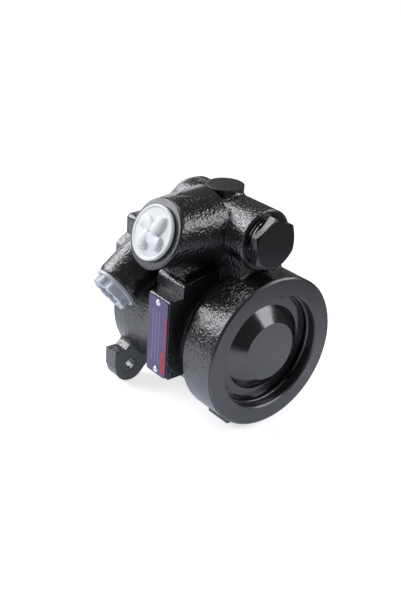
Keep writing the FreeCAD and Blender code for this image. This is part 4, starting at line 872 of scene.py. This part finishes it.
@dataclass
class ShaftLine(SubAssembly):
    """The drive shaft, its bearing and seal, and what is threaded on its end."""

    dressing: dict[str, Finish] = field(default_factory=lambda: {
        "drive_shaft": SHAFT,
        "front_bush": BRONZE,
        "shaft_seal": SEAL,
        "bearing_outer_race": GROUND,
        "bearing_inner_race": GROUND,
        "bearing_balls": BRIGHT,
        "bearing_cage": BRONZE,
        "bearing_circlip": SPRING,
        "woodruff_key": GROUND,
        "lock_washer": ZINC,
        "shaft_nut": ZINC,
    })


@dataclass(frozen=True)
class CoilSpring:
    """A coil spring along Y that stands in for its CAD node."""

    name: str
    node: str
    body: str
    joint: str
    travel: float
    wire: float
    turns: int
    sides: int = 16
    steps: int = 36
    smooth_deg: float = 40.0

    def build(self, finishes: Finishes) -> bpy.types.Object:
        """Winds the spring in its CAD node's box and attaches it to its body.

        Args:
            finishes: The store of made materials.

        Returns:
            The finished spring.
        """
        low, high = (Vector(corner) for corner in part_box(self.node))
        middle, length = (low + high) / 2, high.y - low.y
        only()
        bpy.ops.mesh.primitive_circle_add(vertices=self.sides, radius=self.wire,
                                          location=(middle.x, low.y + self.wire, middle.z))
        spring = bpy.context.object
        spring.name = self.name
        bpy.ops.object.mode_set(mode="EDIT")
        bpy.ops.mesh.select_all(action="SELECT")
        bpy.ops.transform.translate(value=((high.x - low.x) / 2 - self.wire, 0, 0))
        bpy.ops.object.mode_set(mode="OBJECT")
        apply_modifier(spring, "SCREW", axis="Y", steps=self.steps, render_steps=self.steps,
                       iterations=self.turns, screw_offset=(length - self.wire * 2) / self.turns)
        only(spring)
        bpy.ops.object.mode_set(mode="EDIT")
        bpy.ops.mesh.select_all(action="SELECT")
        bpy.ops.mesh.fill_holes(sides=0)
        bpy.ops.mesh.normals_make_consistent(inside=False)
        bpy.ops.object.mode_set(mode="OBJECT")
        bpy.ops.object.shade_smooth_by_angle(angle=math.radians(self.smooth_deg))
        bpy.ops.object.transform_apply(location=True, rotation=True, scale=True)
        dress(spring, finishes.get(SPRING))
        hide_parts(self.node)
        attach(spring, self.body)
        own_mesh(spring)
        log.info("wound %s, %d faces", self.name, len(spring.data.polygons))
        return spring


@dataclass
class FlowValve(SubAssembly):
    """The spool, the springs and the relief parts inside the valve boss."""

    dressing: dict[str, Finish] = field(default_factory=lambda: {
        "flow_spool": GROUND,
        "relief_ball": BRIGHT,
        "relief_screw": GROUND,
    })

    def build(self) -> None:
        """Dresses the valve's nodes and winds the two springs."""
        self.dress_nodes()
        CoilSpring("spool_coil_spring", "valve_spring", "pump_body", "spool_slide",
                   travel=12.0 * MM, wire=0.9 * MM, turns=6).build(self.finishes)
        CoilSpring("ball_coil_spring", "relief_spring", "spool_body", "relief_ball_lift",
                   travel=1.0 * MM, wire=0.45 * MM, turns=4).build(self.finishes)


@dataclass(frozen=True)
class Lamp:
    """One soft box: where it hangs, its size and its strength in watts."""

    name: str
    place: tuple[float, float, float]
    size: tuple[float, float]
    watts: float
    tint: tuple[float, float, float] = (0.955, 0.97, 1.0)

    def hang(self, target: Vector) -> None:
        """Hangs the soft box, aimed at the target."""
        data = bpy.data.lights.new(self.name, "AREA")
        data.shape = "RECTANGLE"
        data.size, data.size_y = self.size
        data.energy = self.watts
        data.color = self.tint
        box = bpy.data.objects.new(self.name, data)
        box.location = self.place
        aim = target - Vector(self.place)
        box.rotation_euler = aim.to_track_quat("-Z", "Y").to_euler()
        bpy.context.scene.collection.objects.link(box)


@dataclass(frozen=True)
class Floor:
    """A large plain floor, lit as a pale table near the pump and white to the camera."""

    height: float = -51.4 * MM
    size: float = 8.0
    middle: tuple[float, float] = (-0.12, 0.0)
    radius: float = 0.22
    lit: tuple[tuple[float, float, float], ...] = ((0.80, 0.80, 0.83), (0.20, 0.20, 0.21))
    shown: tuple[tuple[float, float, float], ...] = ((0.70, 0.70, 0.70), (0.95, 0.95, 0.95))
    mirrored: tuple[tuple[float, float, float], ...] = ((0.34, 0.37, 0.45), (0.0, 0.0, 0.0))

    def build(self) -> None:
        """Lays the floor. Each of its colours runs from near the pump to far from it."""
        only()
        bpy.ops.mesh.primitive_plane_add(size=self.size, location=(0, 0, self.height))
        floor = bpy.context.object
        floor.name = "studio_floor"
        graph = Graph("pale_floor")
        path = graph.node("LightPath")
        to_camera, to_mirror = graph.wire(path, "Is Camera Ray"), graph.wire(path, "Is Glossy Ray")
        x, y, _ = graph.split(graph.place())
        x, y = x - self.middle[0], y - self.middle[1]
        far = graph.step((x * x + y * y).root(), self.radius, self.radius * 2.0)
        matt = graph.node("BsdfDiffuse", None, Color=graph.mix(far, *self.lit))
        bounce = graph.mix(to_mirror, (0.0, 0.0, 0.0), graph.mix(far, *self.mirrored))
        shade = graph.mix(to_camera, bounce, graph.mix(far, *self.shown))
        glow = graph.node("Emission", None, Color=shade, Strength=1.0)
        both = graph.node("AddShader", None)
        graph.tree.links.new(matt.outputs[0], both.inputs[0])
        graph.tree.links.new(glow.outputs[0], both.inputs[1])
        graph.tree.links.new(both.outputs[0], graph.output.inputs[0])
        dress(floor, graph.material)


@dataclass(frozen=True)
class Viewpoint:
    """Where the photograph was taken from, its turns in degrees and its focal length."""

    place: tuple[float, float, float] = (-0.363, -0.4534, 0.284)
    azimuth: float = -40.7284
    elevation: float = 26.5526
    roll: float = 3.7266
    lens: float = 57.24
    sensor: float = 36.0
    nearest: float = 0.01

    def build(self) -> None:
        """Puts the camera there."""
        azimuth, elevation = math.radians(self.azimuth), math.radians(self.elevation)
        roll = math.radians(self.roll)
        back = Vector((math.sin(azimuth) * math.cos(elevation),
                       -math.cos(azimuth) * math.cos(elevation), math.sin(elevation)))
        right = Vector((math.cos(azimuth), math.sin(azimuth), 0.0))
        upright = back.cross(right)
        across = right * math.cos(roll) + upright * math.sin(roll)
        up = upright * math.cos(roll) - right * math.sin(roll)
        data = bpy.data.cameras.new("camera")
        data.lens = self.lens
        data.sensor_width = self.sensor
        data.clip_start = self.nearest
        camera = bpy.data.objects.new("camera", data)
        turn = Matrix((across, up, back)).transposed().to_4x4()
        camera.matrix_world = Matrix.Translation(Vector(self.place)) @ turn
        bpy.context.scene.collection.objects.link(camera)
        bpy.context.scene.camera = camera


@dataclass(frozen=True)
class Studio:
    """The pale floor, the soft boxes, the world and the camera of the photograph."""

    target: tuple[float, float, float] = (-0.008, -0.048, 0.015)
    room_light: float = 0.12
    floor: Floor = Floor()
    viewpoint: Viewpoint = Viewpoint()
    lamps: tuple[Lamp, ...] = (
        Lamp("rear_left_box", (-0.59, 0.86, 0.62), (0.80, 0.80), 12.0),
        Lamp("rear_strip", (-0.12, 0.88, 0.72), (0.16, 0.70), 2.5),
        Lamp("rear_wall", (0.45, 1.10, 0.18), (0.8, 0.4), 1.8),
        Lamp("front_right_box", (0.66, -0.66, 0.62), (1.0, 0.42), 5.5),
        Lamp("top_box", (-0.05, 0.40, 1.2), (0.7, 0.5), 3.5),
        Lamp("left_box", (-1.20, -0.45, 0.35), (0.6, 0.7), 1.8),
    )

    def build(self) -> None:
        """Sets up the whole studio."""
        self.floor.build()
        self.add_world()
        for lamp in self.lamps:
            lamp.hang(Vector(self.target))
        self.viewpoint.build()
        bpy.context.scene.view_settings.view_transform = "Standard"
        log.info("studio ready")

    def add_world(self) -> None:
        """Lights the scene evenly and shows white behind it."""
        world = bpy.data.worlds.new("pale_room")
        bpy.context.scene.world = world
        world.use_nodes = True
        tree = world.node_tree
        tree.nodes.clear()
        path = tree.nodes.new("ShaderNodeLightPath")
        choose = tree.nodes.new("ShaderNodeMixShader")
        output = tree.nodes.new("ShaderNodeOutputWorld")
        tree.links.new(path.outputs["Is Camera Ray"], choose.inputs[0])
        for socket, strength in ((1, self.room_light), (2, 1.0)):
            light = tree.nodes.new("ShaderNodeBackground")
            light.inputs["Color"].default_value = (1, 1, 1, 1)
            light.inputs["Strength"].default_value = strength
            tree.links.new(light.outputs[0], choose.inputs[socket])
        tree.links.new(choose.outputs[0], output.inputs[0])


def main() -> None:
    """Builds the studio and dresses each group of the pump in order."""
    logging.basicConfig(level=logging.INFO, format="%(message)s")
    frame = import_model()
    Studio().build()
    finishes = Finishes()
    for group in (Casing, Cartridge, ShaftLine, FlowValve):
        group(frame["nodes"], finishes).build()


if __name__ == "__main__":
    main()
